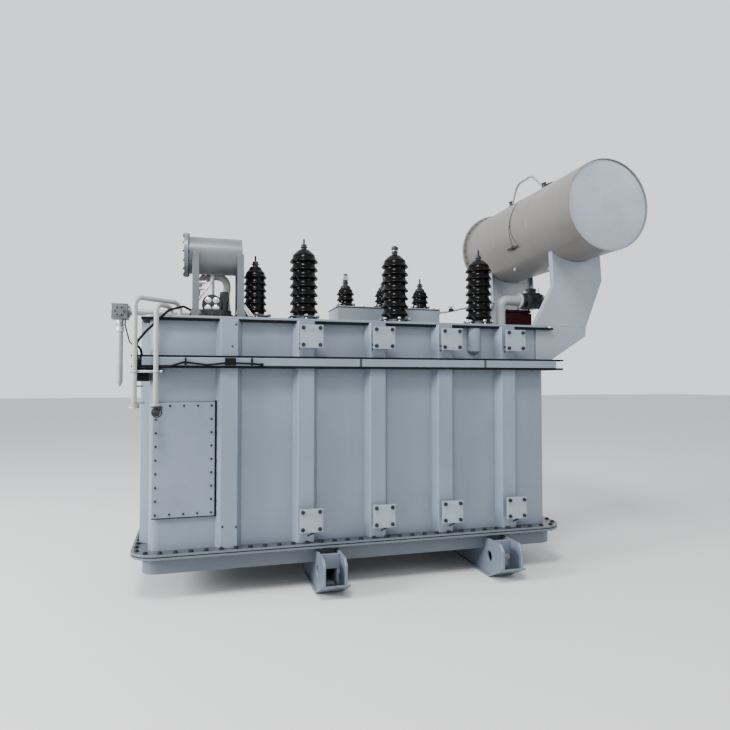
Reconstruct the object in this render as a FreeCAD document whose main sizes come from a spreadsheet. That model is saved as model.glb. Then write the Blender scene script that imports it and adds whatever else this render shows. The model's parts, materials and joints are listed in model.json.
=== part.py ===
import FreeCAD, Part
import Sketcher
import math
import os
import re

from FreeCAD import Rotation, Vector

# Oil-filled power transformer, in millimetres.
# Frame: +Z up, ground at Z 0, origin under the middle of the tank.
# X runs along the tank, the conservator end is at +X, and the bushings stand along the -Y (front) side.

doc = FreeCAD.newDocument("power_transformer")
sheet = doc.addObject("Spreadsheet::Sheet", "dims")

SIZES = {
    # tank
    "tank_length": 3275,
    "tank_width": 1150,
    "wall_thick": 10,
    "wall_height": 1697,
    "corner_radius": 75,
    "cover_thick": 18,
    "cover_reach": 60,
    # bottom tray and the bolted flanges round the foot of the tank
    "tray_clear": 207,
    "tray_depth": 120,
    "tray_reach": 40,
    "tray_floor": 20,
    "flange_thick": 16,
    "flange_reach": 120,
    "gasket_thick": 6,
    "gasket_inset": 14,
    "fill_gap": 2,
    # skids and the beams between them; levels are above the ground
    "skid_left_x": -322,
    "skid_right_x": 1113,
    "skid_width": 182,
    "skid_plate": 20,
    "skid_nose": 315,
    "nose_drop": 28,
    "nose_chamfer": 45,
    "nose_rise": 100,
    "nose_toe": 210,
    "sole_reach": 22,
    "sole_thick": 16,
    "web_inset": 165,
    "web_height": 110,
    "eye_radius": 42,
    "eye_inset": 225,
    "eye_level": 162,
    "cut_margin": 10,
    "beam_width": 120,
    "beam_depth": 38,
    "beam_spread": 760,
    "beam_stub": 470,
    # belt round the tank, above the bell flange
    "belt_level": 1345,
    "belt_depth": 60,
    "belt_reach": 115,
    # hat-shaped stiffeners
    "hat_base": 195,
    "hat_face": 122,
    "hat_depth": 75,
    "hat_plate": 8,
    "hat_first": -1068,
    "hat_pitch": 577,
    "hat_end_spread": 520,
    # radiator connections: the low ones above the bell flange, the high ones below the cover
    "blank_size": 176,
    "blank_thick": 18,
    "blank_hole": 9,
    "blank_hole_pitch": 130,
    "stub_radius": 45,
    "stub_length": 62,
    "blank_shift": 28,
    "blank_rise": 181,
    "blank_drop": 124,
    # hatch panel, from the left end of the tank and above the bell flange
    "hatch_width": 440,
    "hatch_height": 837,
    "hatch_thick": 28,
    "hatch_inset": 248,
    "hatch_rise": 238,
    # turret box
    "turret_length": 974,
    "turret_width": 395,
    "turret_height": 190,
    "turret_plate": 10,
    "turret_x": 390,
    "turret_ahead": 200,
    # bushings
    "bushing_inset": 300,
    "hv_first_x": -448,
    "hv_pitch": 800,
    "hv_foot_radius": 102,
    "hv_foot_height": 62,
    "hv_core_radius": 93,
    "hv_shed_radius": 118,
    "hv_shed_pitch": 70,
    "hv_neck": 22,
    "shoulder_rise": 18,
    "shed_under": 0.3,
    "lip_low": 0.18,
    "lip_high": 0.32,
    "shed_upper": 0.72,
    "neutral_x": -848,
    "neutral_shed_radius": 92,
    "neutral_core_radius": 75,
    "neutral_shed_pitch": 54,
    "lv_first_x": 20,
    "lv_pitch": 368,
    "lv_inset": 750,
    "lv_core_radius": 64,
    "lv_shed_radius": 82,
    "lv_shed_pitch": 52,
    "cap_radius": 44,
    "cap_height": 34,
    "collar_radius": 28,
    "rod_radius": 11,
    "rod_height": 70,
    # main conservator: its axis beyond the end of the tank and above the cover
    "drum_beyond": 311,
    "drum_rise": 970,
    "drum_radius": 383,
    "drum_length": 1910,
    "drum_ahead": 470,
    "drum_plate": 6,
    "drum_recess": 12,
    "drum_rim": 30,
    "drum_rim_thick": 16,
    # its two trestles, outlined from the drum's axis and above the cover
    "support_plate": 12,
    "support_depth": 55,
    "support_tip": 680,
    "support_knee": 364,
    "support_back": 428,
    "support_foot_out": 422,
    "support_knee_out": 222,
    "support_left_out": 239,
    "support_right_out": 258,
    "support_back_out": 276,
    "support_heel_out": 100,
    "arm_root": 95,
    "arm_low": 39,
    "arm_drop": 80,
    # pipe from the cover through the gas relay to the conservator, levels above the cover
    "riser_x": 1372,
    "riser_radius": 45,
    "riser_bend": 70,
    "riser_rise": 261,
    "relay_x": 1679,
    "relay_length": 210,
    "relay_width": 130,
    "relay_height": 150,
    # housing of the pressure relief device, beside the riser
    "relief_beyond": 58,
    "relief_behind": 5,
    "relief_length": 270,
    "relief_width": 140,
    "relief_height": 178,
    # tap changer, from the front left corner of the tank and above the cover
    "changer_from_end": 449,
    "changer_inset": 245,
    "changer_radius": 150,
    "changer_rim_radius": 180,
    "changer_rim": 20,
    "changer_height": 70,
    "changer_dome_radius": 62,
    "changer_dome": 110,
    "pot_back": 184,
    "pot_length": 408,
    "pot_radius": 145,
    "pot_rise": 505,
    "pot_plate": 5,
    "pot_flange_radius": 172,
    "pot_flange": 30,
    "leg_width": 50,
    "leg_plate": 10,
    "leg_first": 32,
    "leg_pitch": 337,
    "leg_clear": 2,
    "pot_pipe_radius": 16,
    # drive of the tap changer
    "gear_beyond": 228,
    "gear_size": 118,
    "shaft_rise": 44,
    "shaft_radius": 24,
    "drop_radius": 22,
    "drop_length": 470,
    "drop_tip": 40,
    # oil pipes, clamp, valve and junction box at the left end
    "oil_pipe_radius": 17,
    "oil_pipe_gap": 15,
    "oil_pipe_a_out": 85,
    "oil_pipe_b_in": 57,
    "oil_pipe_rise": 110,
    "oil_pipe_drop": 660,
    "oil_pipe_bend": 60,
    "oil_pipe_a_left": 240,
    "oil_pipe_a_ahead": 120,
    "oil_pipe_b_below": 45,
    "oil_pipe_b_right": 95,
    "oil_pipe_b_back": 170,
    "oil_flange_radius": 34,
    "oil_flange": 14,
    "clamp_below": 52,
    "clamp_height": 16,
    "valve_radius": 30,
    "valve_height": 70,
    "box_width": 100,
    "box_height": 170,
    "box_below": 115,
    # cables on the left end and the hose on the conservator
    "control_cable_radius": 9,
    "belt_cable_radius": 7,
    "thin_cable_radius": 5,
    "hose_radius": 11,
    "hose_left": 128,
}

PHASES = 3
HV_SHEDS = 7
NEUTRAL_SHEDS = 6
LV_SHEDS = 3
HATS_PER_SIDE = 5

# Tests on shapes: how upright an edge counts as upright, and how near two points count as one.
UPRIGHT = 0.99
SAME_POINT = 1e-6

# Routes of the cables, from the tank's front left corner at the top of the cover: right, back, up.
CONTROL_CABLE = [(317, 205, 55), (237, 34, 75), (137, -93, 30), (-18, -97, -130), (-91, -75, -220),
                 (-55, 37, -250), (-55, 37, -315)]
THIN_CABLE = [(-190, 225, -15), (-190, 223, -60), (-148, 125, -190), (-85, 37, -250), (-85, 37, -315)]
# The cable that lies against the front of the belt: right of the corner, above the belt's underside.
BELT_CABLE = [(-50, -20), (137, -12), (247, 25), (406, 5), (534, 19), (591, 20), (737, 16), (788, 10)]
# The hose on the conservator: behind its front edge, above its axis.
HOSE = [(1345, 335), (1230, 550), (955, 550), (715, 335)]
CONTROL_BEND = 60
THIN_BEND = 30
BELT_CABLE_BEND = 60
HOSE_BEND = 140

for row, (alias, size) in enumerate(SIZES.items(), start=1):
    sheet.set("A%d" % row, alias)
    sheet.set("B%d" % row, str(size))
    sheet.setAlias("B%d" % row, alias)
doc.recompute()

WORD = re.compile(r"[a-z][a-z_]*[a-z]")


def ex(text):
    """An expression on the sheet, from one written with bare size names."""
    return WORD.sub(lambda word: "dims." + word.group() if word.group() in SIZES else word.group(), text)


def number(text):
    """The present value of such an expression."""
    return float(sheet.evalExpression(ex(text)))


# Levels and places that several pieces share.
TRAY_TOP = "(tray_clear + tray_depth)"
GASKET_LOW = "(tray_clear + tray_depth + flange_thick)"
BELL_LOW = "(tray_clear + tray_depth + flange_thick + gasket_thick)"
WALL_LOW = "(tray_clear + tray_depth + 2 * flange_thick + gasket_thick)"
WALL_TOP = "(" + WALL_LOW + " + wall_height)"
COVER_TOP = "(" + WALL_TOP + " + cover_thick)"
TURRET_TOP = "(" + COVER_TOP + " + turret_height)"
BELT_LOW = "(" + WALL_LOW + " + belt_level)"
BELT_TOP = "(" + WALL_LOW + " + belt_level + belt_depth)"
FRONT = "(-tank_width / 2)"
HALF_LENGTH = "(tank_length / 2)"
HALF_WIDTH = "(tank_width / 2)"
BUSHING_ROW = "(" + FRONT + " + bushing_inset)"
LV_ROW = "(" + FRONT + " + lv_inset)"
DRUM_X = "(" + HALF_LENGTH + " + drum_beyond)"
DRUM_Z = "(" + COVER_TOP + " + drum_rise)"
DRUM_FRONT = "(" + FRONT + " - drum_ahead)"
DRUM_BACK = "(" + DRUM_FRONT + " + drum_length)"
RELAY_Z = "(" + COVER_TOP + " + riser_rise)"
CHANGER_X = "(changer_from_end - " + HALF_LENGTH + ")"
CHANGER_Y = "(" + FRONT + " + changer_inset)"
POT_X = "(" + CHANGER_X + " - pot_back)"
POT_Z = "(" + COVER_TOP + " + pot_rise)"
SHAFT_Z = "(" + COVER_TOP + " + shaft_rise)"
GEAR_X = "(-gear_beyond - " + HALF_LENGTH + ")"
PIPE_Y = "(" + FRONT + " - belt_reach - oil_pipe_gap - oil_pipe_radius)"
PIPE_A_X = "(-oil_pipe_a_out - " + HALF_LENGTH + ")"
PIPE_B_X = "(oil_pipe_b_in - " + HALF_LENGTH + ")"
PIPE_LOW = "(" + COVER_TOP + " - oil_pipe_drop)"

TURN = {
    "x": Rotation(Vector(0, 1, 0), 90),
    "y": Rotation(Vector(1, 0, 0), -90),
    "z": Rotation(),
}
PLANES = {"xy": "XY_Plane", "xz": "XZ_Plane", "yz": "YZ_Plane"}


def bind(item, **texts):
    for name, text in texts.items():
        item.setExpression(name, ex(text))
    return item


def place(item, at):
    for axis, text in zip("xyz", at):
        item.setExpression("Placement.Base." + axis, ex(text))
    return item


def box(name, size, low):
    item = doc.addObject("Part::Box", name)
    bind(item, Length=size[0], Width=size[1], Height=size[2])
    return place(item, low)


def cylinder(name, radius, height, at, axis="z"):
    item = doc.addObject("Part::Cylinder", name)
    bind(item, Radius=radius, Height=height)
    item.Placement.Rotation = TURN[axis]
    return place(item, at)


def cone(name, low_radius, high_radius, height, at, axis="z"):
    item = doc.addObject("Part::Cone", name)
    bind(item, Radius1=low_radius, Radius2=high_radius, Height=height)
    item.Placement.Rotation = TURN[axis]
    return place(item, at)


def cut(name, base, tool):
    item = doc.addObject("Part::Cut", name)
    item.Base = base
    item.Tool = tool
    return item


def common(name, base, tool):
    item = doc.addObject("Part::Common", name)
    item.Base = base
    item.Tool = tool
    return item


def fuse(name, items):
    item = doc.addObject("Part::MultiFuse", name)
    item.Shapes = items
    return item


def together(name, items):
    """Like pieces kept as separate solids of one shape."""
    item = doc.addObject("Part::Compound", name)
    item.Links = items
    return item


def sketch_on(body, plane, name, corners):
    """A closed polygon whose every corner is held by two distances from the origin."""
    sketch = body.newObject("Sketcher::SketchObject", name)
    for feature in body.Origin.OriginFeatures:
        if feature.Role == PLANES[plane]:
            sketch.AttachmentSupport = [(feature, "")]
    sketch.MapMode = "FlatFace"
    points = [Vector(number(across), number(up), 0) for across, up in corners]
    count = len(points)
    for i in range(count):
        sketch.addGeometry(Part.LineSegment(points[i], points[(i + 1) % count]), False)
    for i in range(count):
        sketch.addConstraint(Sketcher.Constraint("Coincident", i, 2, (i + 1) % count, 1))
    for i, (across, up) in enumerate(corners):
        for kind, text, size in (("DistanceX", across, points[i].x), ("DistanceY", up, points[i].y)):
            index = sketch.addConstraint(Sketcher.Constraint(kind, -1, 1, i, 1, size))
            sketch.setExpression("Constraints[%d]" % index, ex(text))
    return sketch


def plate(name, plane, corners, thick, at=("0", "0", "0")):
    """A flat piece: a polygon padded towards +X, +Y or +Z."""
    body = doc.addObject("PartDesign::Body", name)
    sketch = sketch_on(body, plane, name + "_outline", corners)
    pad = body.newObject("PartDesign::Pad", name + "_pad")
    pad.Profile = sketch
    pad.Reversed = plane == "xz"
    bind(pad, Length=thick)
    return place(body, at)


def turned(name, profile, at):
    """A round piece: a polygon of (radius, height) corners turned about the vertical."""
    body = doc.addObject("PartDesign::Body", name)
    sketch = sketch_on(body, "xz", name + "_profile", profile)
    turn = body.newObject("PartDesign::Revolution", name + "_turn")
    turn.Profile = sketch
    turn.ReferenceAxis = (sketch, ["V_Axis"])
    turn.Angle = 360
    return place(body, at)


def rounded_slab(name, reach, radius, thick, level):
    """A slab over the tank's outline grown by reach, with rounded vertical corners."""
    body = doc.addObject("PartDesign::Body", name)
    block = body.newObject("PartDesign::AdditiveBox", name + "_block")
    bind(block, Length="tank_length + 2 * (%s)" % reach, Width="tank_width + 2 * (%s)" % reach, Height=thick)
    doc.recompute()
    upright = []
    for i, edge in enumerate(block.Shape.Edges, start=1):
        if abs(edge.tangentAt(edge.FirstParameter).z) > UPRIGHT:
            upright.append("Edge%d" % i)
    rounds = body.newObject("PartDesign::Fillet", name + "_rounds")
    rounds.Base = (block, upright)
    bind(rounds, Radius=radius)
    return place(body, ("-tank_length / 2 - (%s)" % reach, "-tank_width / 2 - (%s)" % reach, level))


def bent_rod(points, radius, bend):
    """A round bar along straight runs joined by tangent arcs of one radius."""
    stations = [Vector(*point) for point in points]
    edges = []
    start = stations[0]
    for i in range(1, len(stations) - 1):
        corner = stations[i]
        back = (stations[i - 1] - corner).normalize()
        ahead = (stations[i + 1] - corner).normalize()
        half = back.getAngle(ahead) / 2
        reach = bend / math.tan(half)
        middle = corner + (back + ahead).normalize() * (bend / math.sin(half) - bend)
        first = corner + back * reach
        last = corner + ahead * reach
        if (first - start).Length > SAME_POINT:
            edges.append(Part.LineSegment(start, first).toShape())
        edges.append(Part.Arc(first, middle, last).toShape())
        start = last
    edges.append(Part.LineSegment(start, stations[-1]).toShape())
    path = Part.Wire(edges)
    direction = stations[1] - stations[0]
    ring = Part.Wire(Part.makeCircle(radius, stations[0], direction))
    return path.makePipeShell([ring], True, False)


def feature(name, shape):
    item = doc.addObject("Part::Feature", name)
    item.Shape = shape
    return item


# ---- tank -------------------------------------------------------------------------------------------


def tank_tube():
    """The four walls as one rounded tube, to be parted into walls."""
    outer = rounded_slab("tank_outside", "0", "corner_radius", "wall_height", WALL_LOW)
    inner = rounded_slab("tank_inside", "-wall_thick", "corner_radius - wall_thick", "wall_height", WALL_LOW)
    return cut("tank_tube", outer, inner)


def tank_walls():
    straight = "(tank_length - 2 * corner_radius)"
    far = "(tank_width + 2 * cut_margin)"
    walls = []
    long_sides = (("front_wall", "-tank_width / 2 - cut_margin"),
                  ("rear_wall", "tank_width / 2 - wall_thick"))
    for name, y in long_sides:
        zone = box(name + "_zone", (straight, "wall_thick + cut_margin", "wall_height"),
                   ("-" + straight + " / 2", y, WALL_LOW))
        walls.append(common(name, tank_tube(), zone))
    ends = (("left_end_wall", "-tank_length / 2 - cut_margin"),
            ("right_end_wall", "tank_length / 2 - corner_radius"))
    for name, x in ends:
        zone = box(name + "_zone", ("corner_radius + cut_margin", far, "wall_height"),
                   (x, "-" + far + " / 2", WALL_LOW))
        walls.append(common(name, tank_tube(), zone))
    return walls


def flange_ring(name, reach, thick, level):
    outer = rounded_slab(name + "_outside", reach, "corner_radius + (%s)" % reach, thick, level)
    inner = rounded_slab(name + "_opening", "-wall_thick", "corner_radius - wall_thick", thick, level)
    return cut(name, outer, inner)


def base_tray():
    """An open pan, rounded walls on a flat floor, with its flange welded round the top."""
    outer = rounded_slab("tray_outside", "tray_reach", "corner_radius + tray_reach",
                         "tray_depth", "tray_clear")
    inner = rounded_slab("tray_inside", "tray_reach - wall_thick", "corner_radius + tray_reach - wall_thick",
                         "tray_depth - tray_floor", "tray_clear + tray_floor")
    pan = cut("tray_pan", outer, inner)
    return fuse("base_tray", [pan, flange_ring("tray_flange", "flange_reach", "flange_thick", TRAY_TOP)])


def core_and_oil():
    """What fills the tank: core, windings and oil, as one plain mass."""
    reach = "-wall_thick - fill_gap"
    height = WALL_LOW + " - tray_clear - tray_floor + wall_height - fill_gap"
    return rounded_slab("core_and_oil", reach, "corner_radius - wall_thick",
                        height, "tray_clear + tray_floor")


def cover():
    return rounded_slab("cover", "cover_reach", "corner_radius + cover_reach", "cover_thick", WALL_TOP)


# ---- skids ------------------------------------------------------------------------------------------


def skid(name, x):
    """Two upright side plates on a sole, with a nose past the tray and a towing eye at each end."""
    tray_side = "(" + HALF_WIDTH + " + tray_reach)"
    nose = "(" + HALF_WIDTH + " + tray_reach + skid_nose)"
    nose_top = "(" + TRAY_TOP + " - nose_drop)"
    half = [
        (nose + " - nose_toe", "sole_thick"),
        (nose, "nose_rise + sole_thick"),
        (nose, nose_top + " - nose_chamfer"),
        (nose + " - nose_chamfer", nose_top),
        (tray_side, nose_top),
        (tray_side, "tray_clear"),
    ]
    outline = [("-(" + y + ")", z) for y, z in half] + half[::-1]
    sides = []
    for side, shift in (("outer", "-skid_width / 2"), ("inner", "skid_width / 2 - skid_plate")):
        blank = plate(name + "_" + side + "_blank", "yz", outline, "skid_plate",
                      (x + " + " + shift, "0", "0"))
        eyes = []
        for end, y in (("front", "-" + nose + " + eye_inset"), ("rear", nose + " - eye_inset")):
            eyes.append(cylinder(name + "_" + side + "_eye_" + end, "eye_radius", "skid_plate",
                                 (x + " + " + shift, y, "eye_level"), "x"))
        sides.append(cut(name + "_" + side, blank, together(name + "_" + side + "_eyes", eyes)))
    gap = "(skid_width - 2 * skid_plate)"
    low = []
    for end, y in (("front", "-" + nose + " + web_inset"), ("rear", nose + " - web_inset - skid_plate")):
        low.append(box(name + "_web_" + end, (gap, "skid_plate", "web_height"),
                       (x + " - " + gap + " / 2", y, nose_top + " - web_height")))
    sole_half = [
        (nose + " - nose_toe", "0"),
        (nose, "nose_rise"),
        (nose, "nose_rise + sole_thick"),
        (nose + " - nose_toe", "sole_thick"),
    ]
    sole = [("-(" + y + ")", z) for y, z in sole_half] + sole_half[::-1]
    low.append(plate(name + "_sole", "yz", sole, "skid_width + 2 * sole_reach",
                     (x + " - skid_width / 2 - sole_reach", "0", "0")))
    return together(name + "_plates", sides), low


def skids():
    """Each skid's two side plates, and the soles and cross webs of both."""
    left, left_low = skid("skid_left", "skid_left_x")
    right, right_low = skid("skid_right", "skid_right_x")
    return [left, right, together("skid_soles", left_low + right_low)]


def base_beams():
    """Flat bars across the underside of the tray, between the skids and out past the left one."""
    beams = []
    runs = (
        ("mid", "skid_left_x + skid_width / 2", "skid_right_x - skid_left_x - skid_width"),
        ("stub", "skid_left_x - skid_width / 2 - beam_stub", "beam_stub"),
    )
    for side, y in (("front", "-beam_spread / 2"), ("rear", "beam_spread / 2")):
        for key, x, length in runs:
            beams.append(box("beam_%s_%s" % (key, side), (length, "beam_width", "beam_depth"),
                             (x, y + " - beam_width / 2", "tray_clear - beam_depth")))
    return together("base_beams", beams)


# ---- outside of the tank ----------------------------------------------------------------------------


def tank_belt():
    """A flat box section round the tank at one level, a length for each side."""
    long_run = "(tank_length + 2 * belt_reach - 2 * corner_radius)"
    end_run = "(tank_width - 2 * corner_radius)"
    parts = []
    for name, y in (("belt_front", FRONT + " - belt_reach"), ("belt_rear", HALF_WIDTH)):
        parts.append(box(name, (long_run, "belt_reach", "belt_depth"),
                         ("-" + long_run + " / 2", y, BELT_LOW)))
    for name, x in (("belt_left", "-tank_length / 2 - belt_reach"), ("belt_right", "tank_length / 2")):
        parts.append(box(name, ("belt_reach", end_run, "belt_depth"), (x, "-" + end_run + " / 2", BELT_LOW)))
    return together("tank_belt", parts)


def hat(name, low, height, x, y, turn):
    """One bent-plate stiffener: a trapezoid channel, open towards the wall."""
    outside = [
        ("-hat_base / 2", "0"),
        ("-hat_face / 2", "hat_depth"),
        ("hat_face / 2", "hat_depth"),
        ("hat_base / 2", "0"),
        ("hat_base / 2 - hat_plate", "0"),
        ("hat_face / 2 - hat_plate", "hat_depth - hat_plate"),
        ("-hat_face / 2 + hat_plate", "hat_depth - hat_plate"),
        ("-hat_base / 2 + hat_plate", "0"),
    ]
    item = plate(name, "xy", outside, height)
    item.Placement.Rotation = Rotation(Vector(0, 0, 1), turn)
    return place(item, (x, y, low))


def hats_along(name, y, turn):
    pieces = []
    for i in range(HATS_PER_SIDE):
        x = "hat_first + %d * hat_pitch" % i
        pieces.append(hat("%s_low_%d" % (name, i), WALL_LOW, "belt_level", x, y, turn))
        pieces.append(hat("%s_high_%d" % (name, i), BELT_TOP, "wall_height - belt_level - belt_depth",
                          x, y, turn))
    return together(name, pieces)


def end_hats():
    pieces = []
    for side, x, turn in (("left", "-tank_length / 2", 90), ("right", "tank_length / 2", -90)):
        for i, y in enumerate(("-hat_end_spread / 2", "hat_end_spread / 2")):
            name = "end_hat_%s_%d" % (side, i)
            pieces.append(hat(name + "_low", WALL_LOW, "belt_level", x, y, turn))
            pieces.append(hat(name + "_high", BELT_TOP, "wall_height - belt_level - belt_depth", x, y, turn))
    return together("end_stiffeners", pieces)


def radiator_connections():
    """Stubs on the stiffener faces, each closed by a square blanking plate with four holes."""
    stubs = []
    blanks = []
    for i in range(1, HATS_PER_SIDE):
        for side, level in (("front", "high"), ("front", "low"), ("rear", "high"), ("rear", "low")):
            x = "hat_first + %d * hat_pitch + blank_shift" % i
            z = {"low": WALL_LOW + " + blank_rise", "high": WALL_TOP + " - blank_drop"}[level]
            key = "%s_%s_%d" % (side, level, i)
            if side == "front":
                stub_y = "-tank_width / 2 - hat_depth - stub_length"
                plate_y = stub_y + " - blank_thick"
            else:
                stub_y = "tank_width / 2 + hat_depth"
                plate_y = stub_y + " + stub_length"
            stubs.append(cylinder(key + "_stub", "stub_radius", "stub_length", (x, stub_y, z), "y"))
            square = box(key + "_square", ("blank_size", "blank_thick", "blank_size"),
                         (x + " - blank_size / 2", plate_y, z + " - blank_size / 2"))
            holes = []
            for a in ("-", "+"):
                for b in ("-", "+"):
                    holes.append(cylinder(key + "_hole", "blank_hole", "blank_thick",
                                          (x + a + " blank_hole_pitch / 2", plate_y,
                                           z + b + " blank_hole_pitch / 2"), "y"))
            blanks.append(cut(key + "_plate", square, together(key + "_holes", holes)))
    return [together("radiator_stubs", stubs), together("radiator_blanks", blanks)]


def hatch_panel():
    return box("hatch_panel", ("hatch_width", "hatch_thick", "hatch_height"),
               ("hatch_inset - hatch_width / 2 - " + HALF_LENGTH,
                FRONT + " - hatch_thick", WALL_LOW + " + hatch_rise"))


def turret_box():
    """A raised box on the cover under the low-voltage bushings, closed by its own top."""
    left = "turret_x - turret_length / 2"
    near = LV_ROW + " - turret_ahead"
    outer = box("turret_outside", ("turret_length", "turret_width", "turret_height"), (left, near, COVER_TOP))
    inner = box("turret_inside", ("turret_length - 2 * turret_plate", "turret_width - 2 * turret_plate",
                                  "turret_height - turret_plate"),
                (left + " + turret_plate", near + " + turret_plate", COVER_TOP))
    return cut("turret_box", outer, inner)


# ---- bushings ---------------------------------------------------------------------------------------


def porcelain(name, sheds, core, shed, pitch, at):
    """A stack of downward-sloping sheds on a straight core, with a conical shoulder on top."""
    profile = [("0", "0"), (core, "0"), (core, "hv_neck")]
    for i in range(sheds):
        base = "hv_neck + %d * %s" % (i, pitch)
        profile.append((core, base + " + %s * shed_under" % pitch))
        profile.append((shed, base + " + %s * lip_low" % pitch))
        profile.append((shed, base + " + %s * lip_high" % pitch))
        profile.append((core, base + " + %s * shed_upper" % pitch))
    top = "hv_neck + %d * %s" % (sheds, pitch)
    profile.append((core, top))
    profile.append(("cap_radius", top + " + shoulder_rise"))
    profile.append(("0", top + " + shoulder_rise"))
    return turned(name, profile, at)


def terminal(name, sheds, pitch, at):
    """The metal cap and threaded rod on a bushing."""
    x, y, z = at
    foot = z + " + hv_neck + %d * %s + shoulder_rise" % (sheds, pitch)
    top = foot + " + cap_height"
    cap = cylinder(name + "_cap", "cap_radius", "cap_height", (x, y, foot))
    collar = cylinder(name + "_collar", "collar_radius", "rod_radius", (x, y, top))
    rod = cylinder(name + "_rod", "rod_radius", "rod_height", (x, y, top + " + rod_radius"))
    return fuse(name, [cap, collar, rod])


def bushings():
    nodes = []
    feet = []
    tops = []
    hv_at = COVER_TOP + " + hv_foot_height"
    for i in range(PHASES):
        x = "hv_first_x + %d * hv_pitch" % i
        nodes.append(porcelain("hv_bushing_%d" % (i + 1), HV_SHEDS, "hv_core_radius", "hv_shed_radius",
                               "hv_shed_pitch", (x, BUSHING_ROW, hv_at)))
        tops.append(terminal("hv_terminal_%d" % (i + 1), HV_SHEDS, "hv_shed_pitch", (x, BUSHING_ROW, hv_at)))
        feet.append(cylinder("hv_foot_%d" % (i + 1), "hv_foot_radius", "hv_foot_height",
                             (x, BUSHING_ROW, COVER_TOP)))
    nodes.append(porcelain("neutral_bushing", NEUTRAL_SHEDS, "neutral_core_radius", "neutral_shed_radius",
                           "neutral_shed_pitch", ("neutral_x", BUSHING_ROW, hv_at)))
    tops.append(terminal("neutral_terminal", NEUTRAL_SHEDS, "neutral_shed_pitch",
                         ("neutral_x", BUSHING_ROW, hv_at)))
    feet.append(cylinder("neutral_foot", "hv_foot_radius", "hv_foot_height",
                         ("neutral_x", BUSHING_ROW, COVER_TOP)))
    small = []
    for i in range(PHASES):
        x = "lv_first_x + %d * lv_pitch" % i
        small.append(porcelain("lv_bushing_%d" % (i + 1), LV_SHEDS, "lv_core_radius", "lv_shed_radius",
                               "lv_shed_pitch", (x, LV_ROW, TURRET_TOP)))
        tops.append(terminal("lv_terminal_%d" % (i + 1), LV_SHEDS, "lv_shed_pitch", (x, LV_ROW, TURRET_TOP)))
    nodes.append(together("lv_bushings", small))
    nodes.append(together("bushing_feet", feet))
    nodes.append(together("bushing_terminals", tops))
    return nodes


# ---- main conservator -------------------------------------------------------------------------------


def conservator():
    shell = cut("conservator_shell",
                cylinder("drum_outside", "drum_radius", "drum_length", (DRUM_X, DRUM_FRONT, DRUM_Z), "y"),
                cylinder("drum_inside", "drum_radius - drum_plate", "drum_length",
                         (DRUM_X, DRUM_FRONT, DRUM_Z), "y"))
    near = cylinder("conservator_near_end", "drum_radius - drum_plate", "drum_plate",
                    (DRUM_X, DRUM_FRONT + " + drum_recess", DRUM_Z), "y")
    ring = cut("far_ring",
               cylinder("far_ring_outside", "drum_radius + drum_rim", "drum_rim_thick",
                        (DRUM_X, DRUM_BACK + " - drum_rim_thick", DRUM_Z), "y"),
               cylinder("far_ring_inside", "drum_radius", "drum_rim_thick",
                        (DRUM_X, DRUM_BACK + " - drum_rim_thick", DRUM_Z), "y"))
    lid = cylinder("far_lid", "drum_radius + drum_rim", "drum_rim_thick", (DRUM_X, DRUM_BACK, DRUM_Z), "y")
    far = fuse("conservator_far_end", [ring, lid])
    return [shell, near, far]


def support(name, web_y, flange_y):
    """A bent-plate trestle: a cradled web with a deep flange down each side."""
    left = [(DRUM_X + " - support_foot_out", COVER_TOP),
            (DRUM_X + " - support_knee_out", COVER_TOP + " + support_knee"),
            (DRUM_X + " - support_left_out", COVER_TOP + " + support_tip")]
    right = [(DRUM_X + " + support_right_out", COVER_TOP + " + support_tip"),
             (DRUM_X + " + support_back_out", COVER_TOP + " + support_back"),
             (DRUM_X + " + support_heel_out", COVER_TOP)]
    web = plate(name + "_web", "xz", left + right, "support_plate", ("0", web_y, "0"))
    sides = [web]
    for side, line, step in (("left", left, "support_plate"), ("right", right[::-1], "-support_plate")):
        inner = [(x + " + (" + step + ")", z) for x, z in line]
        sides.append(plate(name + "_" + side, "xz", line + inner[::-1], "support_depth",
                           ("0", flange_y, "0")))
    cradle = cylinder(name + "_cradle", "drum_radius", "tank_width",
                      (DRUM_X, web_y + " - tank_width / 2", DRUM_Z), "y")
    return cut(name, fuse(name + "_bent", sides), cradle)


def support_arm(name, y):
    """The plate that carries the overhung foot of a trestle past the end of the tank."""
    root = HALF_LENGTH + " - arm_root"
    edge = HALF_LENGTH + " + cover_reach"
    heel = DRUM_X + " + support_heel_out"
    outline = [
        (root, BELT_TOP),
        (HALF_LENGTH + " + arm_low", BELT_TOP),
        (heel, COVER_TOP + " - arm_drop"),
        (heel, COVER_TOP),
        (edge, COVER_TOP),
        (edge, WALL_TOP),
        (root, WALL_TOP),
    ]
    return plate(name, "xz", outline, "support_plate", ("0", y, "0"))


def conservator_supports():
    """A trestle and the arm under its overhung foot, on each long side."""
    front_web = FRONT + " - support_plate"
    rear_web = HALF_WIDTH
    sides = (("front", front_web, front_web),
             ("rear", rear_web, rear_web + " + support_plate - support_depth"))
    pairs = []
    for side, web, flange in sides:
        pairs.append(together("conservator_support_" + side, [
            support("trestle_" + side, web, flange),
            support_arm("support_arm_" + side, web),
        ]))
    return pairs


def hose():
    """A stiff hose that arches from one port on the conservator to another."""
    x = number(DRUM_X + " - hose_left")
    points = [(x, number(DRUM_FRONT) + along, number(DRUM_Z) + up) for along, up in HOSE]
    run = feature("hose_run", bent_rod(points, number("hose_radius"), HOSE_BEND))
    inside = cylinder("hose_cut", "drum_radius", "drum_length", (DRUM_X, DRUM_FRONT, DRUM_Z), "y")
    return cut("drum_hose", run, inside)


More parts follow.
